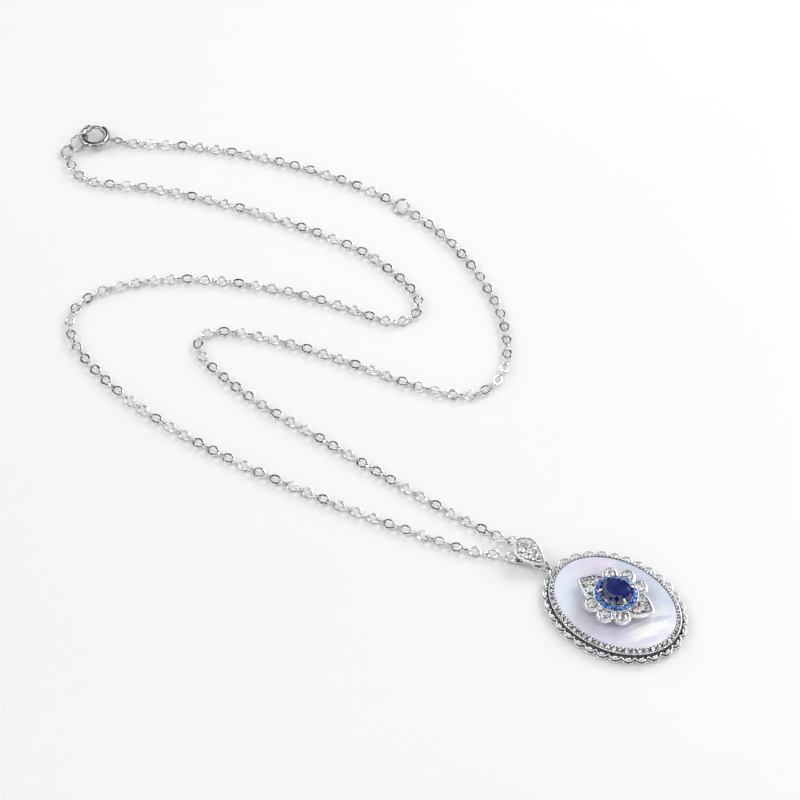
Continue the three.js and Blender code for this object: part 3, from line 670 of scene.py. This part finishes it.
def smooth_route(points, step, count=None):
    """Catmull-Rom points a step apart along a route, each with its direction; same unit as the points."""
    path = at_height(points)
    path = [2 * path[0] - path[1], *path, 2 * path[-1] - path[-2]]
    fine = []
    for p0, p1, p2, p3 in zip(path, path[1:], path[2:], path[3:]):
        # Centripetal spacing, as three.js uses, keeps tight turns clean.
        t1 = max((p1 - p0).length ** 0.5, 1e-9)
        t2 = t1 + max((p2 - p1).length ** 0.5, 1e-9)
        t3 = t2 + max((p3 - p2).length ** 0.5, 1e-9)
        for i in range(24):
            t = t1 + (t2 - t1) * i / 24
            a1 = p0 * ((t1 - t) / t1) + p1 * (t / t1)
            a2 = p1 * ((t2 - t) / (t2 - t1)) + p2 * ((t - t1) / (t2 - t1))
            a3 = p2 * ((t3 - t) / (t3 - t2)) + p3 * ((t - t2) / (t3 - t2))
            b1 = a1 * ((t2 - t) / t2) + a2 * (t / t2)
            b2 = a2 * ((t3 - t) / (t3 - t1)) + a3 * ((t - t1) / (t3 - t1))
            fine.append(b1 * ((t2 - t) / (t2 - t1)) + b2 * ((t - t1) / (t2 - t1)))
    fine.append(path[-2])
    reach = [0.0]
    for a, b in zip(fine, fine[1:]):
        reach.append(reach[-1] + (b - a).length)
    count = count or max(2, round(reach[-1] / step))
    spaced, at = [], 0
    for i in range(count + 1):
        goal = reach[-1] * i / count
        while at < len(fine) - 2 and reach[at + 1] < goal:
            at += 1
        share = (goal - reach[at]) / (reach[at + 1] - reach[at])
        spaced.append((fine[at].lerp(fine[at + 1], share), (fine[at + 1] - fine[at]).normalized()))
    return spaced, reach[-1]


# ---- Chain ----


def link_shape():
    """One oval link of flattened wire in the plane of its first two axes, along the first."""
    outline = [(LINK_HALF_LENGTH * math.cos(a), LINK_HALF_WIDTH * math.sin(a)) for a in round_angles(28)]
    wide, thick = LINK_WIRE
    corners = [math.pi / 8 + math.pi * j / 4 for j in range(8)]
    section = [(1.08 * wide * math.cos(a), 1.08 * thick * math.sin(a)) for a in corners]
    return sweep(outline_frames(outline), section)


LINK = link_shape()
LEAN_HEADING = Vector((0.8192, 0.5736, 0.0))  # the way that the flat links lean up


def stretched(route_m, before, after):
    """A route carried straight on past its two ends, by millimetres."""
    points = at_height(route_m)
    first = points[0] + (points[0] - points[1]).normalized() * before * MM
    last = points[-1] + (points[-1] - points[-2]).normalized() * after * MM
    return ([first] if before else []) + points + ([last] if after else [])


def chain(name, route_m, nodes, before=0.0, after=0.0):
    """Oval links along a route, turned by turns flat and on edge, made as one piece.

    before and after are how far, in millimetres, the links reach past the route's ends into the rings.
    """
    spaced, length = smooth_route(route_m, LINK_PITCH * MM)
    run = smooth_route(stretched(route_m, before, after), LINK_PITCH * MM, LINK_COUNTS[name])[0]
    links = [((a[0] + b[0]) / 2, a[1]) for a, b in zip(run, run[1:])]
    build = Build()
    for i, (centre, along) in enumerate(links):
        side = Vector((0, 0, 1)).cross(along).normalized()
        up = along.cross(side)
        # Links lie by turns nearly flat and nearly upright, each a little differently.
        sway = 6 * math.sin(2.3 * i) + 5 * math.sin(5.1 * i + 1)
        flat = i % 2 == 1
        lean = side.dot(LEAN_HEADING)
        roll = math.radians((LINK_TILT * lean if flat else 90 + UPRIGHT_TILT * lean) + sway)
        across = side * math.cos(roll) + up * math.sin(roll)
        matrix = Matrix((along, across, along.cross(across))).transposed().to_4x4()
        matrix.translation = centre / MM - Vector((0, 0, 0.08 if flat else 0.0))
        build.add(*LINK, smooth=False, matrix=matrix)
    made = piece(name, build, (CHAIN_SILVER,), "chain", nodes)
    return length


IN_BAIL = Matrix.Translation(BAIL_TIP) @ Matrix.Rotation(BAIL_TURN, 4, "Z")

bend = [IN_BAIL @ Vector((x, y + BAIL_LENGTH - BAIL_HEIGHT / 2, z)) * MM for x, y, z in BEND_ROUTE]
LEFT_RUN = [*bend[2:], *at_height(LEFT_ROUTE)]
RIGHT_RUN = [*at_height(RIGHT_ROUTE), *bend[:2]]

lengths = {
    "right": chain("chain_right", RIGHT_RUN, ("chain_right_strand",), before=0.75),
    "left": chain("chain_left", LEFT_RUN, ("chain_left_strand", "chain_bail_bend"), after=1.4),
    "short": chain(
        "chain_short", at_height(SHORT_ROUTE), ("chain_short_strand",),
        before=0.75, after=0.65,
    ),
}


# ---- Pendant ----

IN_PENDANT = Matrix.Translation(PENDANT)
IN_FLOWER = IN_PENDANT @ Matrix.Rotation(FLOWER_TURN, 4, "Z")


def turned_to(centre, normal, spin=0.0):
    """A matrix that puts +Z along a normal at a centre."""
    turn = Vector(normal).to_track_quat("Z", "Y").to_matrix().to_4x4()
    return Matrix.Translation(Vector(centre)) @ turn @ Matrix.Rotation(spin, 4, "Z")


def make_pearl():
    rings, around = 26, 128
    frames = oval_frames(PEARL_X, PEARL_Y, around)
    points, faces = [(0, 0, PEARL_TOP + PEARL_DOME)], []
    for i in range(1, rings + 1):
        share = i / rings
        height = PEARL_TOP + PEARL_DOME * (1 - share**2)
        points += [(*(point * share), height) for point, normal in frames]
    for offset, height in ((PEARL_TUCK, PEARL_TOP - 0.06), (PEARL_TUCK, 0.78)):
        points += [(*(point + normal * offset), height) for point, normal in frames]
    rows = rings + 2
    faces += [(0, 1 + j, 1 + (j + 1) % around) for j in range(around)]
    faces += [tuple(1 + i for i in face) for face in grid_faces(rows, around, close_rows=False)]
    faces.append(tuple(1 + (rows - 1) * around + j for j in range(around)))
    build = Build().add(points, faces).move(IN_PENDANT)
    piece("pearl_plate", build, (PEARL,), "pendant", ("mother_of_pearl_plate",))


def wire_profile(offset, height, radius, sides=10, tall=None):
    """A wire's section, as (offset, height) points; tall is its half-height where it isn't round."""
    tall = tall or radius
    return [(offset + radius * math.cos(a), height + tall * math.sin(a)) for a in round_angles(sides)]


def make_band():
    """The sloping band round the pearl: two rails with a line of small stones between them."""
    frames = oval_frames(PEARL_X, PEARL_Y, 232)
    metal = Build()
    # The lip at the pearl's edge and the slope under the stones take slot 1, near-black metal as painted
    # shade.
    lip = [(-0.11, 2.1), (-0.1, 2.2), (0.02, 2.24), (0.1, 2.2), (0.13, 2.12), (0.12, 2.0), (-0.06, 2.05)]
    metal.add(*sweep(frames, lip), slot=1)
    for point, normal in oval_frames(PEARL_X, PEARL_Y, EDGE_BEADS):
        turn = Matrix.Rotation(math.atan2(normal.y, normal.x), 4, "Z")
        matrix = Matrix.Translation((*(point + normal * 0.03), 2.22)) @ turn
        metal.add(*ball((0, 0, 0), (0.12, 0.21, 0.14), 10, 6), matrix=matrix)
    metal.add(*sweep(frames, wire_profile(0.62, 1.63, 0.11)))
    slope = [(0.13, 1.5), (0.64, 1.5), (0.6, 1.56), (0.1, 2.08)]
    metal.add(*sweep(frames, slope), slot=1)
    for point, normal in oval_frames(PEARL_X, PEARL_Y, BAND_STONES, 0.5):
        for offset, height in ((0.16, 2.16), (0.5, 1.8)):
            metal.add(*ball((*(point + normal * offset), height), 0.11, 8, 6))
    metal.move(IN_PENDANT)
    piece("band_rails", metal, (SILVER, PAINTED_SHADE), "pendant", ("bezel_band",))
    stones = Build()
    for i, (point, normal) in enumerate(oval_frames(PEARL_X, PEARL_Y, BAND_STONES)):
        facing = (*(normal * 0.72), 0.7)
        matrix = turned_to((*(point + normal * 0.36), 1.96), facing, 0.7 * i)
        stones.add(*cut_stone(BAND_STONE_RADIUS, 0.2, 0.13), smooth=False, matrix=matrix)
    stones.move(IN_PENDANT)
    piece("band_stones", stones, (WHITE_STONE,), "pendant", ())


def make_border():
    """Thirty lobes: an arched wire above and below, with a polished drop in each lobe."""
    per_lobe = 16
    frames = oval_frames(PEARL_X, PEARL_Y, BORDER_LOBES * per_lobe, per_lobe / 2)
    swells = [math.sin(math.pi * (i % per_lobe) / per_lobe) ** 0.72 for i in range(len(frames))]
    build = Build()
    for height, radius in BORDER_WIRES:
        wave = []
        for (point, normal), swell in zip(frames, swells):
            wave.append((*(point + normal * (BORDER_VALLEY + (BORDER_TIP - BORDER_VALLEY) * swell)), height))
        build.add(*tube(wave, radius, 8))
    # Painted shade: a dark floor under the drops follows the lobes just inside the wires.
    floor, corners = [], ((0.0, 0.42), (1.0, 0.42), (1.0, 0.54), (0.0, 0.54))
    for (point, normal), swell in zip(frames, swells):
        reach = BORDER_VALLEY + 0.04 + (BORDER_TIP - BORDER_VALLEY - 0.06) * swell
        floor += [(*(point + normal * (0.7 + (reach - 0.7) * share)), height) for share, height in corners]
    build.add(floor, grid_faces(len(frames), len(corners)), slot=1)
    round_the_edge = oval_frames(PEARL_X, PEARL_Y, 180)
    # The wall behind the lobes is also dark metal: painted shade.
    wall = [(0.74, 0.16), (0.98, 0.16), (0.98, 0.5), (0.84, 0.62), (0.84, 1.36), (0.74, 1.4)]
    build.add(*sweep(round_the_edge, wall), slot=1)
    for point, normal in oval_frames(PEARL_X, PEARL_Y, BORDER_LOBES, 0.0):
        turn = Matrix.Rotation(math.atan2(normal.y, normal.x) + math.radians(10), 4, "Z")
        matrix = Matrix.Translation((*(point + normal * 1.09), 0.86)) @ turn
        build.add(*ball((0, 0, 0), (0.27, 0.56, 0.42), 16, 10), matrix=matrix)
    build.move(IN_PENDANT)
    piece("scalloped_edge", build, (SILVER, PAINTED_SHADE), "pendant", ("scalloped_border",))


def cubic_point(corners, t):
    """The point at t, from 0 to 1, of the cubic curve with four corners."""
    weights = ((1 - t) ** 3, 3 * t * (1 - t) ** 2, 3 * t * t * (1 - t), t**3)
    return tuple(sum(w * corner[axis] for w, corner in zip(weights, corners)) for axis in (0, 1))


def leaf_outline(inset=0.0):
    """A pointed leaf along +Y, counter-clockwise, from two cubic curves."""
    half, bulge = LEAF_ROOT_HALF - inset, LEAF_BULGE - 1.4 * inset
    tip, root = LEAF_TIP - 2.2 * inset, LEAF_ROOT + inset
    corners = ((half, root), (bulge, root + 1.3), (bulge * 0.55, tip - 1.2), (0, tip))
    side = [cubic_point(corners, i / 16) for i in range(17)]
    return side + [(-x, y) for x, y in reversed(side[:-1])]


def petal_outline(radius, reach=PETAL_RING, root=2.3, root_half=0.55):
    """A round-ended petal along +Y that narrows to its root."""
    lean = math.asin((radius - root_half) / (reach - root))
    outline = []
    for i in range(25):
        angle = -lean + (math.pi + 2 * lean) * i / 24
        outline.append((radius * math.cos(angle), reach + radius * math.sin(angle)))
    outline += [(-root_half, root), (root_half, root)]
    return outline


# Section of a petal's edge, from its pocket out: a round rim, a groove and a lower flange.
RIM = [(-0.24, 3.88), (-0.23, 4.22), (-0.18, 4.33), (-0.1, 4.36), (-0.02, 4.3), (0.01, 4.18), (0.0, 3.9),
       (0.05, 3.82), (0.13, 3.86), (0.2, 3.8), (0.2, 3.66), (0.12, 3.56), (0.0, 3.32), (-0.24, 3.3)]


def set_stone(name, node, body, place, centre, cut, spin):
    """One upright white stone; cut is its radius, depth and crown height."""
    matrix = turned_to(centre, (0, 0, 1), spin)
    stone = Build().add(*cut_stone(*cut), smooth=False, matrix=matrix).move(place)
    piece(name, stone, (WHITE_STONE,), body, (node,))


def make_flower():
    metal = Build()
    outlines = [(petal_outline(PETAL_RADIUS), math.radians(-a)) for a in PETAL_ANGLES]
    outlines += [(leaf_outline(), 0.0), (leaf_outline(), math.pi)]
    for outline, angle in outlines:
        turn = Matrix.Rotation(angle, 4, "Z")
        metal.add(*sweep(outline_frames(outline), RIM), matrix=turn)
        # Each petal's and leaf's floor takes the darker pave material: painted shade under the stones.
        floor = [tuple(point - normal * 0.2) for point, normal in outline_frames(outline)]
        metal.add(*plate(floor, 3.4, PETAL_FLOOR), slot=1, smooth=False, matrix=turn)
    middle = [tuple(point) for point, normal in oval_frames(3.3, 3.5, 64)]
    metal.add(*plate(middle, 3.32, 4.3), smooth=False)
    beads = []
    for degrees in PETAL_ANGLES:
        turn = Matrix.Rotation(math.radians(-degrees), 4, "Z")
        beads += [turn @ Vector((x, PETAL_RING + y, FLOWER_BEAD_HEIGHT)) for x, y in PETAL_BEADS]
    for side in (1, -1):
        beads += [Vector((side * x, side * y, FLOWER_BEAD_HEIGHT)) for x, y in LEAF_BEADS]
    for bead in beads:
        metal.add(*ball(bead, 0.15, 10, 6))
    metal.move(IN_FLOWER)
    piece("flower_petals", metal, (SILVER, SHADED_PAVE_FLOOR), "pendant", ("flower_plate",))
    for i, degrees in enumerate(PETAL_ANGLES):
        angle = math.radians(degrees)
        away = PETAL_RING + 0.1
        centre = (away * math.sin(angle), away * math.cos(angle), FLOWER_STONE_HEIGHT)
        names = (f"round_stone_{i + 1}", f"petal_stone_{i + 1}")
        set_stone(*names, "pendant", IN_FLOWER, centre, (PETAL_STONE, 0.3, 0.2), 0.5 * i)
    number = 0
    for side in (1, -1):
        for x, y, radius in LEAF_STONES:
            number += 1
            centre = (side * x, side * y, FLOWER_STONE_HEIGHT)
            names = (f"leaf_gem_{number}", f"leaf_stone_{number}")
            set_stone(*names, "pendant", IN_FLOWER, centre, (radius, 0.28, 0.18), 0.9 * number)


def make_halo():
    ring = [(-0.47, 4.34), (0.44, 4.34), (0.5, 4.42), (0.5, 4.62), (0.44, 4.68), (0.36, 4.62),
            (-0.36, 4.62), (-0.44, 4.68), (-0.49, 4.6)]
    metal = Build().add(*sweep(oval_frames(HALO_X, HALO_Y, 96), ring))
    for point, normal in oval_frames(HALO_X, HALO_Y, HALO_STONES, 0.5):
        for offset in (0.3, -0.3):
            metal.add(*ball((*(point + normal * offset), 4.76), 0.1, 8, 6))
    metal.move(IN_FLOWER)
    piece("halo_ring", metal, (SILVER,), "pendant", ("halo_setting",))
    stones = Build()
    for i, (point, normal) in enumerate(oval_frames(HALO_X, HALO_Y, HALO_STONES)):
        matrix = turned_to((*point, 4.74), (*(normal * 0.18), 1), 0.6 * i)
        stones.add(*cut_stone(HALO_STONE_RADIUS, 0.15, 0.2), smooth=False, matrix=matrix)
    stones.move(IN_FLOWER)
    piece("halo_stones", stones, (BLUE_STONE,), "pendant", ("halo_stone_row",))


def make_centre():
    sides = 16
    size = (CENTRE_X, CENTRE_Y)
    rows = [
        facet_ring(size, scale, CENTRE_GIRDLE + height, turn, sides)
        for scale, height, turn in (
            (0.62, CENTRE_CROWN, 0), (0.82, CENTRE_CROWN * 0.66, 0.5), (0.98, 0.12, 0),
            (1.0, 0.0, 0), (0.98, -0.08, 0), (0.6, -CENTRE_PAVILION * 0.6, 0.5),
        )
    ]
    points = [p for row in rows for p in row] + [(0, 0, CENTRE_GIRDLE - CENTRE_PAVILION)]
    faces = [tuple(range(sides))]
    for row in range(len(rows) - 1):
        for j in range(sides):
            a, b, k = row * sides, (row + 1) * sides, (j + 1) % sides
            if row == 0 or row == 4:
                faces += [(a + j, b + j, a + k), (a + k, b + j, b + k)]
            elif row == 1:
                faces += [(a + j, b + k, b + j), (a + j, a + k, b + k)]
            else:
                faces.append((a + j, b + j, b + k, a + k))
    last = (len(rows) - 1) * sides
    faces += [(last + j, len(points) - 1, last + (j + 1) % sides) for j in range(sides)]
    stone = Build().add(points, faces, smooth=False).move(IN_FLOWER)
    made = piece("centre_gem", stone, (SAPPHIRE,), "pendant", ("centre_stone",))
    soften = made.modifiers.new("facet_edges", "BEVEL")
    soften.width = 0.00003
    soften.segments = 2
    metal = Build()
    metal.add(*sweep(oval_frames(1.66, 2.02, 64), wire_profile(0, 4.6, 0.16, 8, tall=0.2)))
    metal.add(*sweep(oval_frames(2.0, 2.4, 64), wire_profile(0, 5.12, 0.12, 8)))
    for degrees in (CLAW_ANGLE, -CLAW_ANGLE, 180 - CLAW_ANGLE, CLAW_ANGLE - 180):
        angle = math.radians(degrees)
        path = [
            (scale * CENTRE_X * math.sin(angle), scale * CENTRE_Y * math.cos(angle), height)
            for scale, height in CLAW_PATH
        ]
        metal.add(*tube(path, 0.17, 10, closed=False, radii=CLAW_RADII))
    metal.move(IN_FLOWER)
    piece("claw_basket", metal, (SILVER,), "pendant", ("centre_basket",))


def ring_points(radius, count=40, semi=None):
    """Points round a circle, or round an oval where semi is its second half-size."""
    return [(radius * math.cos(a), (semi or radius) * math.sin(a), 0) for a in round_angles(count)]


def make_pendant():
    make_pearl()
    make_band()
    make_border()
    make_flower()
    make_halo()
    make_centre()
    upright = Matrix.Translation(TOP_LOOP) @ Matrix.Rotation(math.pi / 2, 4, "Y")
    loop = Build().add(*tube(ring_points(0.45), 0.16, 12), matrix=upright)
    piece("top_loop", loop, (SHADED_RING_SILVER,), "pendant", ("pendant_top_loop",))
    ring = Build().add(*tube(ring_points(0.78), 0.2, 12), matrix=Matrix.Translation(JUMP_RING))
    piece("jump_ring_wire", ring, (SHADED_RING_SILVER,), "jump_ring", ("jump_ring",))


# ---- Bail ----


def kite_outline(inset=0.0):
    """Rounded kite with its point at y = 0, counter-clockwise."""
    half, foot, top = KITE_HALF - inset, 1.6 * inset, KITE_LENGTH - 1.6 * inset
    curves = (
        ((0, foot), (half * 0.45, foot + 0.7), (half, KITE_SHOULDER - 1.5), (half, KITE_SHOULDER)),
        ((half, KITE_SHOULDER), (half, KITE_SHOULDER + 1.1), (half * 0.42, top - 0.5), (0, top)),
    )
    side = [cubic_point(corners, i / 12) for corners in curves for i in range(12)]
    side.append((0, top))
    return side + [(-x, y) for x, y in reversed(side[1:-1])]


def band_half_width(y, height):
    """Half the width of the bail's folded band along its length; its back is the broader leaf."""
    front = ((-1.0, 0.26), (0.45, 0.26), (1.6, 1.1), (2.5, 1.55), (3.3, 1.6), (4.2, 1.05), (5.3, 0.72))
    back = (
        (-1.0, 0.26), (0.45, 0.26), (1.6, 1.1), (2.4, 1.75), (3.2, 2.0), (4.0, 2.0), (4.6, 1.6), (5.3, 0.72),
    )
    table = back if height < BAIL_LEAF_TOP else front
    for (y0, w0), (y1, w1) in zip(table, table[1:]):
        if y <= y1:
            share = max(0.0, (y - y0) / (y1 - y0))
            return w0 + (w1 - w0) * (3 * share**2 - 2 * share**3)
    return table[-1][1]


def make_bail_loop():
    """A strip folded into a teardrop seen from the side, with rounded edges."""
    big, small = BAIL_HEIGHT / 2 - BAIL_WALL / 2, BAIL_TIP_RADIUS - BAIL_WALL / 2
    big_at = Vector((BAIL_LENGTH - BAIL_HEIGHT / 2, BAIL_HEIGHT / 2))
    small_at = Vector((BAIL_TIP_RADIUS, LINK_HEIGHT))
    lean = math.acos((big - small) / (big_at - small_at).length)
    middle = []
    for i in range(25):
        angle = -(math.pi - lean) + 2 * (math.pi - lean) * i / 24
        middle.append(big_at + big * Vector((math.cos(angle), math.sin(angle))))
    top_end = middle[-1]
    top_start = small_at + small * Vector((math.cos(math.pi - lean), math.sin(math.pi - lean)))
    middle += [top_end.lerp(top_start, i / 12) for i in range(1, 12)]
    for i in range(17):
        angle = math.pi - lean + 2 * lean * i / 16
        middle.append(small_at + small * Vector((math.cos(angle), math.sin(angle))))
    low_start, low_end = middle[-1], middle[0]
    middle += [low_start.lerp(low_end, i / 12) for i in range(1, 12)]
    points = []
    around = 14
    for i, here in enumerate(middle):
        along = (middle[(i + 1) % len(middle)] - middle[i - 1]).normalized()
        out = Vector((along.y, -along.x))
        half = band_half_width(here.x, here.y)
        for j in range(around):
            angle = 2 * math.pi * j / around
            flat = math.copysign(abs(math.cos(angle)) ** 0.45, math.cos(angle))
            thick = math.copysign(abs(math.sin(angle)) ** 0.8, math.sin(angle)) * BAIL_WALL / 2
            place = here + out * thick
            curl = 0.0
            if here.y < BAIL_LEAF_TOP and CURL_START < here.x < CURL_START + CURL_SPAN:
                curl = BAIL_LEAF_CURL * abs(flat) ** 2 * math.sin(math.pi * (here.x - CURL_START) / CURL_SPAN)
            points.append((half * flat, place.x, place.y + curl))
    return points, grid_faces(len(middle), around)


def kite_frame():
    """Where the front plate lies: along the sloping front of the folded band."""
    big_at = Vector((BAIL_LENGTH - BAIL_HEIGHT / 2, BAIL_HEIGHT / 2))
    small_at = Vector((BAIL_TIP_RADIUS, LINK_HEIGHT))
    span = big_at - small_at
    slope = math.asin((BAIL_HEIGHT / 2 - BAIL_TIP_RADIUS) / span.length) + math.atan2(span.y, span.x)
    foot_y = BAIL_REACH + 0.2 - KITE_LENGTH * math.cos(slope) + 0.04 * math.sin(slope)
    touch_y = big_at.x - BAIL_HEIGHT / 2 * math.sin(slope)
    touch_z = big_at.y + BAIL_HEIGHT / 2 * math.cos(slope)
    foot = Matrix.Translation((0, foot_y, touch_z + (foot_y - touch_y) * math.tan(slope)))
    return IN_BAIL @ foot @ Matrix.Rotation(slope, 4, "X")


def make_bail():
    loop = Build().add(*make_bail_loop()).move(IN_BAIL)
    piece("bail_folded_band", loop, (SILVER,), "bail", ("bail_loop",))
    in_kite = kite_frame()
    metal = Build()
    outline = kite_outline()
    rim = [(-0.2, 0.35), (-0.19, 0.58), (-0.14, 0.66), (-0.07, 0.66), (-0.01, 0.58), (0.0, 0.45),
           (-0.02, 0.2), (-0.12, 0.06), (-0.26, 0.04)]
    metal.add(*sweep(outline_frames(outline), rim))
    # The kite's floor takes the darker pave material: painted shade between the stones.
    floor = [tuple(point - normal * 0.16) for point, normal in outline_frames(outline)]
    metal.add(*plate(floor, 0.08, 0.4), slot=1, smooth=False)
    for y, x in KITE_BEADS:
        for side in (1, -1) if x else (1,):
            metal.add(*ball((side * x, y, KITE_STONE_HEIGHT), 0.16, 10, 6))
    metal.move(in_kite)
    piece("bail_kite_plate", metal, (SILVER, SHADED_PAVE_FLOOR), "bail", ("bail_front_plate",))
    centres = [(x, y) for y, across in BAIL_STONE_ROWS for x in across]
    for i, (x, y) in enumerate(centres):
        names = (f"kite_stone_{i + 1}", f"bail_stone_{i + 1}")
        set_stone(*names, "bail", in_kite, (x, y, KITE_STONE_HEIGHT), (BAIL_STONE, 0.22, 0.14), 0.8 * i)


# ---- Rings and clasp ----


def make_rings():
    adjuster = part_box("adjuster_ring")
    centre = (adjuster[0] + adjuster[1]) / 2 / MM
    matrix = Matrix.Translation(centre) @ Matrix.Rotation(math.radians(-28), 4, "Y")
    ring = Build().add(*tube(ring_points(1.24, 56), 0.21, 12), matrix=matrix)
    piece("adjuster_ring_wire", ring, (SHADED_RING_SILVER,), "adjuster_ring", ("adjuster_ring",))
    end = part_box("end_ring")
    centre = (end[0] + end[1]) / 2 / MM
    matrix = Matrix.Translation(centre) @ Matrix.Rotation(math.radians(-20), 4, "Y")
    ring = Build().add(*tube(ring_points(1.1, 48), 0.2, 12), matrix=matrix)
    piece("end_ring_wire", ring, (SHADED_RING_SILVER,), "end_ring", ("end_ring",))
    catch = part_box("catch_ring")
    centre = (catch[0] + catch[1]) / 2 / MM
    grip = math.radians(CLASP_GRIP_ANGLE)
    grip_at = CLASP.xy + CLASP_RADIUS * Vector((math.cos(grip), math.sin(grip)))
    away = END_RING - grip_at
    turn = Matrix.Rotation(math.atan2(away.y, away.x), 4, "Z")
    turn = turn @ Matrix.Rotation(math.pi / 2 + math.radians(CATCH_ROLL), 4, "X")
    ring = Build().add(*tube(ring_points(1.9, 56, 1.2), 0.19, 12), matrix=Matrix.Translation(centre) @ turn)
    piece("catch_ring_wire", ring, (SHADED_RING_SILVER,), "catch_ring", ("catch_ring",))


def arc(radius, start, end, count):
    """Points along an arc, between two angles in degrees."""
    angles = [math.radians(start + (end - start) * i / count) for i in range(count + 1)]
    return [(radius * math.cos(a), radius * math.sin(a), 0) for a in angles]


def make_clasp():
    at = Matrix.Translation(CLASP)
    body = Build()
    path = arc(CLASP_RADIUS, 52, 364, 72)
    ends = [CLASP_TUBE * 0.72, CLASP_TUBE * 0.94]
    radii = ends + [CLASP_TUBE] * (len(path) - 4) + ends[::-1]
    body.add(*tube(path, CLASP_TUBE, 20, closed=False, radii=radii), matrix=at)
    # The slot that the nub slides in, drawn as a shallow groove of painted shade over the outer side.
    groove = arc(CLASP_RADIUS + CLASP_TUBE - 0.06, 63, 107, 16)
    body.add(*tube(groove, 0.11, 8, closed=False), slot=1, matrix=at)
    piece("clasp_ring", body, (SHADED_RING_SILVER, PAINTED_SHADE), "clasp", ("clasp_body", "clasp_spring"))
    bolt = Build().add(*tube(arc(CLASP_RADIUS, -1, 58, 20), CLASP_BOLT, 12, closed=False), matrix=at)
    nub_turn = Matrix.Rotation(math.radians(66), 4, "Z")
    bolt.add(*ball((CLASP_RADIUS + 0.62, 0, 0), (0.2, 0.12, 0.14), 12, 8), matrix=at @ nub_turn)
    stem = [(CLASP_RADIUS + 0.1 * i, 0, 0) for i in range(3, 8)]
    bolt.add(*tube(stem, 0.1, 8, closed=False), matrix=at @ nub_turn)
    piece("clasp_sliding_bolt", bolt, (SHADED_RING_SILVER,), "clasp_bolt", ("clasp_bolt",))
    out = math.radians(CLASP_EYELET_ANGLE)
    eyelet_at = CLASP_RADIUS + CLASP_TUBE + EYELET_RADIUS + EYELET_WIRE + 0.03
    turn = Matrix.Rotation(out, 4, "Z")
    upright = Matrix.Translation((eyelet_at, 0, 0)) @ Matrix.Rotation(math.pi / 2, 4, "X")
    eyelet = Build().add(*tube(ring_points(EYELET_RADIUS), EYELET_WIRE, 12), matrix=at @ turn @ upright)
    piece("clasp_loop", eyelet, (SHADED_RING_SILVER,), "clasp", ("clasp_eyelet",))
    link_at = Matrix.Translation((eyelet_at + LINK_RING, 0, 0))
    link = Build().add(*tube(ring_points(LINK_RING, 40, 0.6), 0.17, 12), matrix=at @ turn @ link_at)
    piece("clasp_link", link, (SHADED_RING_SILVER,), "clasp_link", ("clasp_link_ring",))


make_pendant()
make_bail()
make_rings()
make_clasp()

# CAD nodes that are already the right shape get their material here.
for name in ("back_tray", "flower_post"):
    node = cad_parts[name]
    node.data.materials.clear()
    node.data.materials.append(SILVER)


# ---- Table and light (metres) ----

STUDIO_LIGHT = 1.32


def make_table():
    mesh = bpy.data.meshes.new("table_top")
    reach = 1.6
    corners = [(-reach, -reach, 0), (reach, -reach, 0), (reach, reach, 0), (-reach, reach, 0)]
    mesh.from_pydata(corners, [], [(0, 1, 2, 3)])
    mesh.materials.append(floor_material())
    table = bpy.data.objects.new("table_top", mesh)
    table.location.z = -0.00005
    bpy.context.collection.objects.link(table)


def make_light(name, place, aim, size, power, colour=(1, 1, 1)):
    lamp = bpy.data.lights.new(name, "AREA")
    lamp.shape = "RECTANGLE"
    lamp.size, lamp.size_y = size
    lamp.energy = power
    lamp.color = colour
    thing = bpy.data.objects.new(name, lamp)
    thing.location = place
    thing.rotation_euler = (Vector(aim) - Vector(place)).to_track_quat("-Z", "Y").to_euler()
    bpy.context.collection.objects.link(thing)


def make_lights():
    """A soft key from the upper right, and two small lamps that make the stones sparkle."""
    middle = (0.015, 0.05, 0.0)
    make_light("key", (0.532, -0.041, 0.53), middle, (0.4, 0.4), 2.0)
    make_light("sparkle_left", (-0.35, 0.42, 0.6), middle, (0.05, 0.05), 0.5)
    make_light("sparkle_front", (0.1, -0.5, 0.55), middle, (0.05, 0.05), 0.4)


def make_studio():
    """White studio walls with a dark foot, dark flags and a dark place where the camera stands."""
    world = bpy.data.worlds.new("studio")
    world.use_nodes = True
    sky = Nodes(world.node_tree)
    heading = sky.add("ShaderNodeTexCoord").outputs["Generated"]
    height = sky.add("ShaderNodeSeparateXYZ")
    sky.link(heading, height.inputs["Vector"])

    def patch(centre, inner, outer, within, outside):
        """A soft round patch of the sky: one value within it and another outside."""
        return sky.range(sky.away_from(heading, centre), inner, outer, within, outside, smooth=True)

    wall = sky.range(height.outputs["Z"], 0.24, 0.36, 0.03, STUDIO_LIGHT, smooth=True)
    flags = sky.range(sky.noise(heading, 1.9, 1), 0.42, 0.5, 0.05, 1.0, smooth=True)
    flags = sky.add_up(flags, patch((-0.08, -0.1, 0.99), 0.2, 0.34, 1.0, 0.0))
    overhead = patch((0.482, 0.335, 0.809), 0.28, 0.45, 0.12, 1.0)
    camera_side = patch((-0.482, -0.337, 0.809), 0.2, 0.34, 0.04, 1.0)
    background = world.node_tree.nodes["Background"]
    background.inputs["Color"].default_value = (0.97, 0.98, 1.0, 1)
    strength = sky.times(sky.times(wall, flags), sky.times(overhead, camera_side))
    sky.link(strength, background.inputs["Strength"])
    bpy.context.scene.world = world


make_table()
make_lights()
make_studio()
bpy.context.scene.view_settings.view_transform = "Standard"
